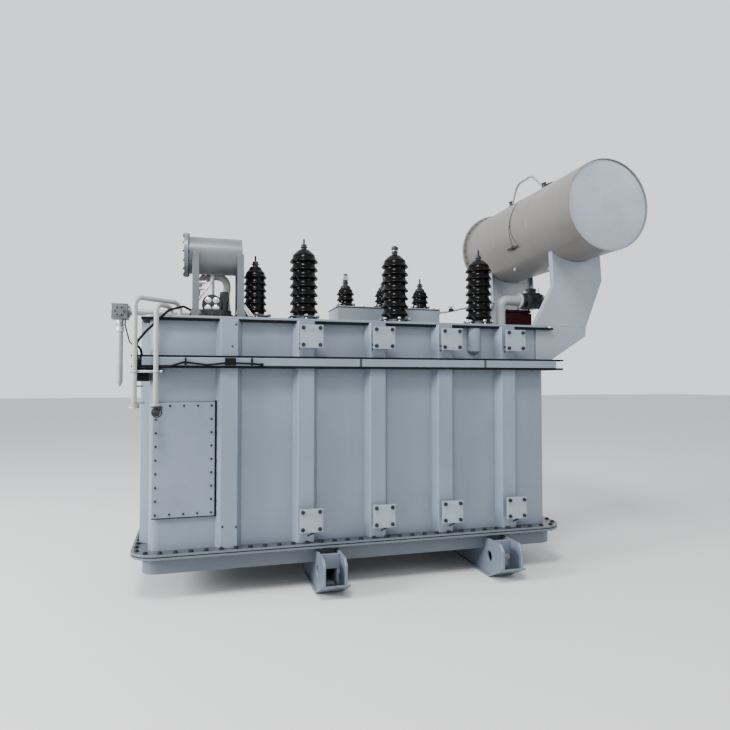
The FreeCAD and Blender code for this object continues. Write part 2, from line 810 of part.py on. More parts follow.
def riser():
    """The pipe from the cover through the gas relay up to the underside of the conservator."""
    y = number(BUSHING_ROW)
    x = number("riser_x")
    level = number(RELAY_Z)
    first = number("relay_x - relay_length / 2")
    last = number("relay_x + relay_length / 2")
    top = number(DRUM_Z + " - drum_radius")
    drum = number(DRUM_X)
    bend = number("riser_bend")
    radius = number("riser_radius")
    lower = bent_rod([(x, y, number(COVER_TOP)), (x, y, level), (first, y, level)], radius, bend)
    upper = bent_rod([(last, y, level), (drum, y, level), (drum, y, top)], radius, bend)
    relay = box("gas_relay", ("relay_length", "relay_width", "relay_height"),
                ("relay_x - relay_length / 2", BUSHING_ROW + " - relay_width / 2",
                 RELAY_Z + " - relay_height / 2"))
    runs = [feature("relay_pipe_low", lower), feature("relay_pipe_high", upper)]
    return [relay, together("relay_pipes", runs)]


def relief_housing():
    """The low cast housing on the cover, between the riser and the trestle."""
    return box("relief_housing", ("relief_length", "relief_width", "relief_height"),
               ("riser_x + relief_beyond", BUSHING_ROW + " + relief_behind", COVER_TOP))


# ---- tap changer ------------------------------------------------------------------------------------


def tap_changer():
    """The head of the tap changer, notched round the legs of the pot that stands over it."""
    turret = fuse("changer_turret", [
        cylinder("changer_rim_low", "changer_rim_radius", "changer_rim", (CHANGER_X, CHANGER_Y, COVER_TOP)),
        cylinder("changer_body", "changer_radius", "changer_height", (CHANGER_X, CHANGER_Y, COVER_TOP)),
        cylinder("changer_dome", "changer_dome_radius", "changer_dome", (CHANGER_X, CHANGER_Y, COVER_TOP)),
    ])
    pot = cut("pot_shell",
              cylinder("pot_outside", "pot_radius", "pot_length", (POT_X, CHANGER_Y, POT_Z), "x"),
              cylinder("pot_inside", "pot_radius - pot_plate", "pot_length - pot_plate",
                       (POT_X, CHANGER_Y, POT_Z), "x"))
    pot_end = cylinder("pot_end_flange", "pot_flange_radius", "pot_flange",
                       (POT_X + " - pot_flange", CHANGER_Y, POT_Z), "x")
    rows = (("front", CHANGER_Y + " - pot_radius - leg_plate"), ("back", CHANGER_Y + " + pot_radius"))
    legs = []
    notches = []
    for side, x in (("left", POT_X + " + leg_first"), ("right", POT_X + " + leg_first + leg_pitch")):
        for row, y in rows:
            legs.append(box("leg_%s_%s" % (row, side), ("leg_width", "leg_plate", "pot_rise"),
                            (x, y, COVER_TOP)))
            notches.append(box("notch_%s_%s" % (row, side),
                               ("leg_width + 2 * leg_clear", "leg_plate + 2 * leg_clear", "changer_height"),
                               (x + " - leg_clear", y + " - leg_clear", COVER_TOP)))
    head = cut("changer_head", turret, together("leg_notches", notches))
    pipe = cylinder("pot_pipe", "pot_pipe_radius",
                    "pot_rise - pot_radius - changer_dome",
                    (CHANGER_X, CHANGER_Y, COVER_TOP + " + changer_dome"))
    return [head, pot, pot_end, together("pot_legs", legs), pipe]


def drive():
    gear = box("bevel_gear_box", ("gear_size", "gear_size", "gear_size"),
               (GEAR_X + " - gear_size / 2", CHANGER_Y + " - gear_size / 2", SHAFT_Z + " - gear_size / 2"))
    shaft = cylinder("drive_shaft", "shaft_radius",
                     CHANGER_X + " - changer_radius - " + GEAR_X + " - gear_size / 2",
                     (GEAR_X + " + gear_size / 2", CHANGER_Y, SHAFT_Z), "x")
    drop_low = SHAFT_Z + " - gear_size / 2 - drop_length"
    drop = fuse("drop_shaft", [
        cylinder("drop_tube", "drop_radius", "drop_length", (GEAR_X, CHANGER_Y, drop_low)),
        cone("drop_point", "drop_radius / 4", "drop_radius", "drop_tip",
             (GEAR_X, CHANGER_Y, drop_low + " - drop_tip")),
    ])
    return [gear, together("drive_shafts", [shaft, drop])]


def oil_pipes():
    """Two pipes that come over the edge of the cover and run down the front left corner."""
    y = number(PIPE_Y)
    top = number(COVER_TOP + " + oil_pipe_rise")
    low = number(PIPE_LOW + " + oil_flange")
    radius = number("oil_pipe_radius")
    bend = number("oil_pipe_bend")
    a = number(PIPE_A_X)
    b = number(PIPE_B_X)
    cover = number(COVER_TOP)
    foot_x = number(CHANGER_X + " - oil_pipe_a_left")
    foot_y = number(CHANGER_Y + " - oil_pipe_a_ahead")
    far_x = b + number("oil_pipe_b_right")
    far_y = y + number("oil_pipe_b_back")
    lower = top - number("oil_pipe_b_below")
    route_a = [(a, y, low), (a, y, top), (foot_x, foot_y, top), (foot_x, foot_y, cover)]
    route_b = [(b, y, low), (b, y, lower), (far_x, far_y, lower), (far_x, far_y, cover)]
    pipe_a = bent_rod(route_a, radius, bend)
    pipe_b = bent_rod(route_b, radius, bend)
    runs = []
    for key, x, run in (("a", PIPE_A_X, pipe_a), ("b", PIPE_B_X, pipe_b)):
        flange = cylinder("oil_flange_" + key, "oil_flange_radius", "oil_flange",
                          (x, PIPE_Y, PIPE_LOW))
        runs.append(fuse("oil_pipe_" + key, [feature("oil_run_" + key, run), flange]))
    runs.append(box("pipe_clamp", ("oil_pipe_a_out + oil_pipe_b_in + 4 * oil_pipe_radius",
                                   "belt_reach + oil_pipe_gap", "clamp_height"),
                    (PIPE_A_X + " - 2 * oil_pipe_radius", PIPE_Y + " + oil_pipe_radius",
                     BELT_LOW + " - clamp_below")))
    return together("oil_pipes", runs)


def left_end_fittings():
    valve = cylinder("drain_valve", "valve_radius", "valve_height",
                     (PIPE_B_X, PIPE_Y, PIPE_LOW + " - valve_height"))
    junction = box("junction_box", ("box_width", "corner_radius", "box_height"),
                   ("-box_width - " + HALF_LENGTH, FRONT, BELT_LOW + " - box_below"))
    return [valve, junction]


def cables():
    """The leads held by the tank: two into the top of the junction box, and one along the belt."""
    corner = (number("-" + HALF_LENGTH), number(FRONT), number(COVER_TOP))
    runs = []
    for name, route, radius, bend in (("control", CONTROL_CABLE, "control_cable_radius", CONTROL_BEND),
                                      ("thin", THIN_CABLE, "thin_cable_radius", THIN_BEND)):
        points = [tuple(start + step for start, step in zip(corner, steps)) for steps in route]
        runs.append(feature(name + "_run", bent_rod(points, number(radius), bend)))
    body = cylinder("control_cut", "changer_radius", "changer_height", (CHANGER_X, CHANGER_Y, COVER_TOP))
    control = cut("control_lead", runs[0], body)
    radius = number("belt_cable_radius")
    y = number(FRONT + " - belt_reach - belt_cable_radius")
    low = number(BELT_LOW)
    points = [(corner[0] + right, y, low + up) for right, up in BELT_CABLE]
    points.insert(0, (points[0][0], corner[1], points[0][2]))
    belt = feature("belt_run", bent_rod(points, radius, BELT_CABLE_BEND))
    return together("control_cables", [control, runs[1], belt])


nodes = []
nodes.append(base_tray())
nodes.append(flange_ring("flange_gasket", "flange_reach - gasket_inset", "gasket_thick", GASKET_LOW))
nodes.append(flange_ring("bell_flange", "flange_reach", "flange_thick", BELL_LOW))
nodes += tank_walls()
nodes.append(core_and_oil())
nodes.append(cover())
nodes += skids()
nodes.append(base_beams())
nodes.append(tank_belt())
nodes.append(hats_along("front_stiffeners", FRONT, 180))
nodes.append(hats_along("rear_stiffeners", HALF_WIDTH, 0))
nodes.append(end_hats())
nodes += radiator_connections()
nodes.append(hatch_panel())
nodes.append(turret_box())
nodes += bushings()
nodes += conservator()
nodes += conservator_supports()
nodes.append(hose())
nodes += riser()
nodes.append(relief_housing())
nodes += tap_changer()
nodes += drive()
nodes.append(oil_pipes())
nodes += left_end_fittings()
nodes.append(cables())

doc.recompute()

for item in doc.Objects:
    bad = [state for state in item.State if state in ("Invalid", "Error")]
    if bad:
        raise RuntimeError("%s: %s" % (item.Name, bad))
for item in nodes:
    item.Label = item.Name
    if item.Shape.isNull() or not item.Shape.isValid():
        raise RuntimeError("%s has no valid shape" % item.Label)

os.makedirs("parts", exist_ok=True)
for item in nodes:
    item.Shape.exportStep("parts/" + item.Label + ".step")
    print(item.Label, len(item.Shape.Solids), round(item.Shape.Volume / 1e9, 5))
print(len(nodes), "nodes")
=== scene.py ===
# %% [markdown]
# # Oil-filled power transformer on skids
# The big solid shapes arrive already made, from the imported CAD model, in metres and in their final place.
# This notebook gives every one of them a finish, and adds what is too small or too soft for the CAD:
# bolts, clamps, porcelain with rounded sheds, valves, cable clips, weld seams and gauges.

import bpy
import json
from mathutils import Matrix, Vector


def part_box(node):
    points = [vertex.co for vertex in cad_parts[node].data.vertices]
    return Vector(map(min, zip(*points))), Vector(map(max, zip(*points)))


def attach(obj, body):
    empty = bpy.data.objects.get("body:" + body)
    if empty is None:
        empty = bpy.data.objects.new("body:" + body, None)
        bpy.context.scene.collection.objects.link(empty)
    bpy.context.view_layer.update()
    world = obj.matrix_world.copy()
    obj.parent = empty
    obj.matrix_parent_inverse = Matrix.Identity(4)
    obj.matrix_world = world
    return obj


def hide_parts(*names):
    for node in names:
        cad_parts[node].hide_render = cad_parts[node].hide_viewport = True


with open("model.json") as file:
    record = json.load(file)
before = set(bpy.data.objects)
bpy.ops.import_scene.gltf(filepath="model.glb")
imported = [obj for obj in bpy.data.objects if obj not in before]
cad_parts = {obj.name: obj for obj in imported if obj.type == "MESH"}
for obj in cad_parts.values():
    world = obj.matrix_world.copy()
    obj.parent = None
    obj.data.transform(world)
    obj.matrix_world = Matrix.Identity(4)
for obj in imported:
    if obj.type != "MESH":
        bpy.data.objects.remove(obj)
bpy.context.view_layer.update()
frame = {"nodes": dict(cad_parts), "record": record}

# %% [markdown]
# ## Landmarks
# A piece that sits on another one should take its place from it, so that nothing floats when a size changes.
# Boxes of CAD nodes give levels and edges, and the record's mounts give the axes of bushings and radiator plates.

# %% Landmarks of the tank
import json
import math

import bmesh
import bpy
from mathutils import Matrix, Vector

mounts = {m["name"]: Vector(m["pos_m"]) for m in frame["record"]["mounts"]}
cover_low, cover_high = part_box("cover")
wall_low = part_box("front_wall")[0]
flange_low, flange_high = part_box("bell_flange")
belt_low, belt_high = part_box("tank_belt")
COVER_TOP = cover_high.z
TANK_FRONT = wall_low.y
END_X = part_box("right_end_wall")[1].x
print("cover top", round(COVER_TOP, 3), "front wall at", round(TANK_FRONT, 3), "end of tank", round(END_X, 4))

# %% [markdown]
# ## Helpers that make solids
# Most fittings on a transformer are turned, sawn from plate, or cast with flat faces.
# A small builder that collects boxes, turned shapes, prisms and rods in one mesh keeps each fitting a single piece.
# Separate objects for every nut would work too, but a hundred objects are harder to read than ten.

# %% A builder for small fittings
SHARP_ANGLE = math.radians(38)


class Build:
    """Collects simple solids in one mesh, then makes it a finished piece."""

    def __init__(self):
        self.bm = bmesh.new()

    def block(self, low, high, turn=None):
        size = Vector(high) - Vector(low)
        centre = (Vector(high) + Vector(low)) / 2
        matrix = Matrix.Translation(centre) @ (turn or Matrix()) @ Matrix.Diagonal((*size, 1))
        bmesh.ops.create_cube(self.bm, size=1, matrix=matrix)
        return self

    def turned(self, profile, at, along=(0, 0, 1), sides=48, ring=False):
        """profile is (radius, height) pairs; the shape turns about the line through at.
        A ring's profile joins up with its own start, and leaves a hole in the middle."""
        frame_of = Vector(along).to_track_quat("Z", "Y").to_matrix()
        rings = []
        for radius, height in profile:
            if radius < 1e-6:
                rings.append([self.bm.verts.new(Vector(at) + frame_of @ Vector((0, 0, height)))])
                continue
            circle = []
            for i in range(sides):
                angle = math.tau * i / sides
                spot = Vector((radius * math.cos(angle), radius * math.sin(angle), height))
                circle.append(self.bm.verts.new(Vector(at) + frame_of @ spot))
            rings.append(circle)
        for a, b in zip(rings, rings[1:] + rings[:1] * ring):
            for i in range(sides):
                j = (i + 1) % sides
                corners = [a[i % len(a)], a[j % len(a)], b[j % len(b)], b[i % len(b)]]
                self.bm.faces.new(list(dict.fromkeys(corners)))
        for end, flip in ((rings[0], True), (rings[-1], False)):
            if len(end) > 1 and not ring:
                self.bm.faces.new(end[::-1] if flip else end)
        return self

    def drum(self, at, along, radius, length, sides=32, edge=0.0):
        """A plain round bar, its two ends chamfered by edge."""
        if edge:
            profile = [(radius - edge, 0), (radius, edge), (radius, length - edge), (radius - edge, length)]
        else:
            profile = [(radius, 0), (radius, length)]
        return self.turned(profile, at, along, sides)

    def prism(self, outline, low, high, axis="z"):
        """A polygon in the plane across axis, drawn out from low to high."""
        order = {"z": lambda a, b, c: (a, b, c), "y": lambda a, b, c: (a, c, b), "x": lambda a, b, c: (c, a, b)}[axis]
        near = [self.bm.verts.new(order(a, b, low)) for a, b in outline]
        far = [self.bm.verts.new(order(a, b, high)) for a, b in outline]
        count = len(outline)
        for i in range(count):
            j = (i + 1) % count
            self.bm.faces.new([near[i], near[j], far[j], far[i]])
        self.bm.faces.new(near[::-1])
        self.bm.faces.new(far)
        return self

    def bar(self, points, radius, sides=12, smooth=True):
        """A round bar through the points, as a swept curve turned into mesh."""
        curve = bpy.data.curves.new("bar", "CURVE")
        curve.dimensions = "3D"
        curve.bevel_depth = radius
        curve.bevel_resolution = sides // 4
        curve.use_fill_caps = True
        spline = curve.splines.new("NURBS" if smooth else "POLY")
        spline.points.add(len(points) - 1)
        for knot, spot in zip(spline.points, points):
            knot.co = (*spot, 1)
        if smooth:
            spline.order_u = 3
            spline.use_endpoint_u = True
        holder = bpy.data.objects.new("bar", curve)
        bpy.context.scene.collection.objects.link(holder)
        graph = bpy.context.evaluated_depsgraph_get()
        mesh = bpy.data.meshes.new_from_object(holder.evaluated_get(graph))
        self.bm.from_mesh(mesh)
        bpy.data.objects.remove(holder)
        bpy.data.curves.remove(curve)
        bpy.data.meshes.remove(mesh)
        return self

    def piece(self, name, finish, slot, bevel=0.0, stands_for=()):
        """The finished object, riding on the one body; the slot argument is not used."""
        bmesh.ops.remove_doubles(self.bm, verts=self.bm.verts, dist=1e-6)
        bmesh.ops.recalc_face_normals(self.bm, faces=self.bm.faces)
        for face in self.bm.faces:
            face.smooth = True
        for edge in self.bm.edges:
            edge.smooth = len(edge.link_faces) == 2 and edge.calc_face_angle(math.pi) < SHARP_ANGLE
        mesh = bpy.data.meshes.new(name)
        self.bm.to_mesh(mesh)
        self.bm.free()
        mesh.materials.append(finish)
        thing = bpy.data.objects.new(name, mesh)
        bpy.context.scene.collection.objects.link(thing)
        if bevel:
            rounding = thing.modifiers.new("edges", "BEVEL")
            rounding.width = bevel
            rounding.segments = 2
            rounding.limit_method = "ANGLE"
            rounding.angle_limit = SHARP_ANGLE
        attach(thing, "root")
        if stands_for:
            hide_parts(*stands_for)
        print(name, len(mesh.polygons), "faces")
        return thing


# %% [markdown]
# ## Finishes: sprayed enamel
# The tank is sandblasted steel with a primer and two coats of grey enamel, sprayed on in the works.
# Such a coat is even from afar, but has broad soft clouds of tone, faint vertical runs, a fine orange peel,
# and a colour on what faces up: a little dust on most pieces, and on the flanges dark soot that is also painted shade,
# so their tops look darker than the walls. All of it is noise on object coordinates, so it holds from every side.
# A picture of real paint would need unwrapped faces, which loose CAD triangles do not have.

# %% Node helpers and the enamel
def new_material(name):
    """An empty node material, its shader and a function that adds a node and sets its sockets."""
    material = bpy.data.materials.new(name)
    material.use_nodes = True
    tree = material.node_tree
    shader = tree.nodes["Principled BSDF"]

    def add(kind, settings=None, **inputs):
        node = tree.nodes.new(kind)
        for key, value in (settings or {}).items():
            setattr(node, key, value)
        for key, value in inputs.items():
            socket = node.inputs[key.replace("_", " ")]
            if isinstance(value, bpy.types.NodeSocket):
                tree.links.new(value, socket)
            else:
                socket.default_value = value
        return node

    return material, tree, shader, add


def noise_of(add, scale, detail=4.0, stretch=(1, 1, 1), rough=0.55):
    """Noise on object coordinates; stretch squeezes the pattern along an axis."""
    where = add("ShaderNodeTexCoord")
    mapped = add("ShaderNodeMapping", Vector=where.outputs["Object"], Scale=stretch)
    noise = add("ShaderNodeTexNoise", Vector=mapped.outputs["Vector"], Scale=scale, Detail=detail, Roughness=rough)
    return noise.outputs["Fac"]


def spread(add, value, low, high, to_low=0.0, to_high=1.0):
    """Maps low..high of a value to to_low..to_high, clamped."""
    node = add("ShaderNodeMapRange", Value=value)
    for key, number in (("From Min", low), ("From Max", high), ("To Min", to_low), ("To Max", to_high)):
        node.inputs[key].default_value = number
    return node.outputs["Result"]


def mixed(add, factor, first, second, blend="MIX"):
    """One colour laid over another by factor."""
    node = add("ShaderNodeMix", {"data_type": "RGBA", "blend_type": blend})
    tree = node.id_data
    for index, value in ((0, factor), (6, first), (7, second)):
        if isinstance(value, bpy.types.NodeSocket):
            tree.links.new(value, node.inputs[index])
        else:
            node.inputs[index].default_value = value
    return node.outputs[2]


def scaled(colour, by):
    return (*[min(1.0, c * by) for c in colour], 1)


DUST = (0.20, 0.195, 0.18, 1)
GRIME = (0.10, 0.095, 0.085, 1)


def enamel(name, colour, rough=0.38, cloud=0.10, run=0.06, dust_and_shade=0.25, peel=0.10, grime=0.35, lines=(), settled_and_shade=DUST):
    """Grey machine enamel: clouds, vertical runs, orange peel, grime in patches, and a top-face colour (dust; soot with
    painted shade on flanges).
    lines are (axis, place, half width) of thin dark joints across the piece."""
    material, tree, shader, add = new_material(name)
    clouds = noise_of(add, 1.3, 3)
    runs = noise_of(add, 7.0, 6, (1, 1, 0.08))
    patches = noise_of(add, 3.1, 7, rough=0.68)
    skin = noise_of(add, 420.0, 2)
    base = mixed(add, spread(add, clouds, 0.3, 0.7), scaled(colour, 1 - cloud), scaled(colour, 1 + cloud))
    base = mixed(add, spread(add, runs, 0.52, 0.74, 0, run * 4), base, scaled(colour, 0.62))
    base = mixed(add, spread(add, patches, 0.60, 0.80, 0, grime), base, GRIME)
    # Top faces take the settled colour: dust on most pieces; on the flanges a dark tone that is soot and painted shade.
    face = add("ShaderNodeNewGeometry")
    parts = add("ShaderNodeSeparateXYZ", Vector=face.outputs["Normal"])
    up = spread(add, parts.outputs["Z"], 0.75, 0.98, 0, dust_and_shade)
    base = mixed(add, up, base, settled_and_shade)
    where = add("ShaderNodeTexCoord")
    spot = add("ShaderNodeSeparateXYZ", Vector=where.outputs["Object"])
    for axis, place, half in lines:
        away = add("ShaderNodeMath", {"operation": "SUBTRACT"})
        tree.links.new(spot.outputs[axis], away.inputs[0])
        away.inputs[1].default_value = place
        size = add("ShaderNodeMath", {"operation": "ABSOLUTE"})
        tree.links.new(away.outputs[0], size.inputs[0])
        base = mixed(add, spread(add, size.outputs[0], half, half * 1.5, 1, 0), base, (0.012, 0.013, 0.015, 1))
    tree.links.new(base, shader.inputs["Base Color"])
    tree.links.new(spread(add, patches, 0.3, 0.8, rough - 0.06, rough + 0.16), shader.inputs["Roughness"])
    shader.inputs["Coat Weight"].default_value = 0.18
    shader.inputs["Coat Roughness"].default_value = 0.22
    bump = add("ShaderNodeBump", Strength=peel, Distance=0.0006, Height=skin)
    tree.links.new(bump.outputs["Normal"], shader.inputs["Normal"])
    return material


BELT_JOINTS = [("X", -0.066, 0.008), ("X", 1.005, 0.008)]
SOOT_AND_SHADE = (0.034, 0.037, 0.041, 1)
TANK = (0.124, 0.157, 0.196)
tank_paint = enamel("tank_enamel", TANK)
belt_paint = enamel("belt_enamel", TANK, lines=BELT_JOINTS)
# The flanges' tops get heavy dark soot: partly dirt, partly painted shade that makes the tops darker than the walls.
flange_paint = enamel("flange_enamel", (0.072, 0.090, 0.112), rough=0.45, dust_and_shade=0.75, grime=0.6, settled_and_shade=SOOT_AND_SHADE)
plate_paint = enamel("blanking_plate_enamel", (0.185, 0.220, 0.255), rough=0.42, cloud=0.14)
skid_paint = enamel("skid_enamel", (0.096, 0.121, 0.155), rough=0.40, run=0.10, grime=0.5)
# Painted light: the shell and its near end are one paint in two tones for how light falls on them; the near end is a
# lighter, bluer copy that stands for the sky's reflection on its face.
drum_paint = enamel("conservator_enamel", (0.108, 0.101, 0.091), rough=0.36, run=0.04, dust_and_shade=0.10,
                    settled_and_shade=(0.22, 0.22, 0.21, 1))
drum_end_lit_paint = enamel("conservator_end_lit_enamel", (0.150, 0.187, 0.231), rough=0.22, cloud=0.05, run=0.02, grime=0.15)
trestle_paint = enamel("trestle_enamel", (0.185, 0.212, 0.245), rough=0.42)
pipe_paint = enamel("pipe_enamel", (0.24, 0.245, 0.24), rough=0.40, peel=0.05)
pot_paint = enamel("pot_enamel", (0.076, 0.088, 0.097), rough=0.38)
turret_paint = enamel("turret_enamel", (0.168, 0.193, 0.230), rough=0.36)
print("enamels made")

# %% [markdown]
# ## Finishes: porcelain, castings, rubber and zinc
# Bushings are brown-black glazed porcelain: a smooth glassy skin over a dark body, with slight waves in the glaze.
# The relay and the tap changer's head are castings, with a coarser skin. Cables and gaskets are black rubber;
# the same black also draws the strips of painted shade.
# Fasteners are zinc plated steel that has dulled; nuts on the flange were painted over in dark grey.

# %% Other materials
def glaze(name, colour):
    material, tree, shader, add = new_material(name)
    tone = mixed(add, spread(add, noise_of(add, 9.0, 5), 0.35, 0.7), scaled(colour, 0.6), scaled(colour, 1.7))
    tree.links.new(tone, shader.inputs["Base Color"])
    tree.links.new(spread(add, noise_of(add, 30.0, 4), 0.3, 0.8, 0.20, 0.34), shader.inputs["Roughness"])
    shader.inputs["Specular IOR Level"].default_value = 0.06
    shader.inputs["Coat Weight"].default_value = 0.05
    shader.inputs["Coat Roughness"].default_value = 0.10
    wave = add("ShaderNodeBump", Strength=0.25, Distance=0.0008, Height=noise_of(add, 45.0, 2))
    tree.links.new(wave.outputs["Normal"], shader.inputs["Normal"])
    return material


def casting(name, colour, rough=0.5, grain=0.5, metal=0.0, grain_size=160.0, shine=0.5):
    """Cast or rolled metal, painted or bare: grainy skin, rubbed lighter in patches."""
    material, tree, shader, add = new_material(name)
    rub = noise_of(add, 22.0, 6, rough=0.7)
    tone = mixed(add, spread(add, rub, 0.42, 0.72), scaled(colour, 0.75), scaled(colour, 1.45))
    tree.links.new(tone, shader.inputs["Base Color"])
    tree.links.new(spread(add, rub, 0.3, 0.75, rough - 0.1, rough + 0.15), shader.inputs["Roughness"])
    shader.inputs["Metallic"].default_value = metal
    shader.inputs["Specular IOR Level"].default_value = shine
    bump = add("ShaderNodeBump", Strength=grain, Distance=0.0008, Height=noise_of(add, grain_size, 4))
    tree.links.new(bump.outputs["Normal"], shader.inputs["Normal"])
    return material


porcelain_glaze = glaze("porcelain_glaze", (0.0016, 0.0014, 0.0015))
relay_cast = casting("relay_casting", (0.016, 0.0016, 0.003), rough=0.5, shine=0.12)
dark_cast = casting("dark_casting", (0.014, 0.017, 0.020), rough=0.45, shine=0.3)
zinc = casting("dull_zinc", (0.48, 0.49, 0.50), rough=0.38, grain=0.15, metal=0.9)
dark_bolt = casting("painted_bolt", (0.012, 0.013, 0.016), rough=0.45, grain=0.2, shine=0.3)
grey_bolt = casting("grey_bolt", (0.085, 0.098, 0.112), rough=0.45, grain=0.2)
black_rubber_and_shade = casting("black_rubber_and_shade", (0.0035, 0.0035, 0.004), rough=0.6, grain=0.25, grain_size=300.0, shine=0.1)
box_plastic = casting("junction_box_enamel", (0.008, 0.008, 0.009), rough=0.42, grain=0.3, grain_size=240.0,
                      shine=0.2)
hose_cover = casting("braided_hose", (0.22, 0.215, 0.205), rough=0.55, grain=0.9, grain_size=700.0)
light_metal = casting("bright_fitting", (0.50, 0.51, 0.52), rough=0.3, grain=0.1, metal=0.5)
core_block = casting("core_block", (0.10, 0.10, 0.10))
print(len(bpy.data.materials), "materials")

# %% [markdown]
# ## Dress the CAD nodes
# The large plates, the drum and the pipes have the right shape already, so they only need a finish.
# Thin plates look cut from paper if their edges are knife-sharp, so the flat ones also get a small real rounding:
# a weld of the loose triangles, a clean-up of the flat faces, then a two-step bevel.

# %% A finish for every node
FINISHES = {
    "base_tray": flange_paint, "bell_flange": flange_paint, "front_wall": tank_paint, "rear_wall": tank_paint,
    "left_end_wall": tank_paint, "right_end_wall": tank_paint, "cover": tank_paint, "tank_belt": belt_paint,
    "front_stiffeners": tank_paint, "rear_stiffeners": tank_paint, "end_stiffeners": tank_paint,
    "radiator_stubs": tank_paint, "radiator_blanks": plate_paint, "hatch_panel": tank_paint,
    "turret_box": turret_paint, "flange_gasket": black_rubber_and_shade, "core_and_oil": core_block,
    "skid_left_plates": skid_paint, "skid_right_plates": skid_paint, "skid_soles": skid_paint,
    "base_beams": skid_paint, "hv_bushing_1": porcelain_glaze, "hv_bushing_2": porcelain_glaze,
    "hv_bushing_3": porcelain_glaze, "neutral_bushing": porcelain_glaze, "lv_bushings": porcelain_glaze,
    "bushing_feet": dark_cast, "bushing_terminals": dark_cast, "conservator_shell": drum_paint,
    "conservator_near_end": drum_end_lit_paint, "conservator_far_end": drum_paint,
    "conservator_support_front": trestle_paint, "conservator_support_rear": trestle_paint,
    "gas_relay": dark_cast, "relief_housing": relay_cast, "relay_pipes": pipe_paint,
    "changer_head": dark_cast, "pot_shell": pot_paint,
    "pot_end_flange": pot_paint, "pot_legs": pot_paint, "pot_pipe": pipe_paint, "bevel_gear_box": pot_paint,
    "drive_shafts": pipe_paint, "oil_pipes": pipe_paint, "drain_valve": dark_cast, "junction_box": box_plastic,
    "control_cables": black_rubber_and_shade, "drum_hose": hose_cover,
}
SOFTENED = {
    "cover": 0.003, "tank_belt": 0.004, "front_stiffeners": 0.008, "rear_stiffeners": 0.006,
    "end_stiffeners": 0.006, "hatch_panel": 0.003, "turret_box": 0.004, "bell_flange": 0.003,
    "skid_left_plates": 0.003, "skid_right_plates": 0.003, "skid_soles": 0.003, "base_beams": 0.003,
    "conservator_support_front": 0.003, "conservator_support_rear": 0.003, "pot_legs": 0.002,
    "radiator_blanks": 0.002,
}
WELD_DISTANCE = 0.00005
for node, thing in frame["nodes"].items():
    thing.data.materials.clear()
    thing.data.materials.append(FINISHES[node])
    if node in SOFTENED:
        weld = thing.modifiers.new("weld", "WELD")
        weld.merge_threshold = WELD_DISTANCE
        flat = thing.modifiers.new("flat", "DECIMATE")
        flat.decimate_type = "DISSOLVE"
        flat.angle_limit = math.radians(1)
        rounding = thing.modifiers.new("edges", "BEVEL")
        rounding.width = SOFTENED[node]
        rounding.segments = 2
        rounding.limit_method = "ANGLE"
        rounding.angle_limit = math.radians(25)
        rounding.harden_normals = False
print(len(frame["nodes"]), "nodes dressed")

# %% [markdown]
# ## Fasteners by Geometry Nodes
# The tank's bell is held to its tray by about ninety bolts, and there are some two hundred more on the covers.
# Every one is the same three turned parts: a washer, a hexagon and the end of the stud.
# Placing them by hand or with an array works for one row. One node tree does it for all: it takes either loose
# points, or a path that it divides at an even pitch, and turns a bolt to the direction stored at each point.

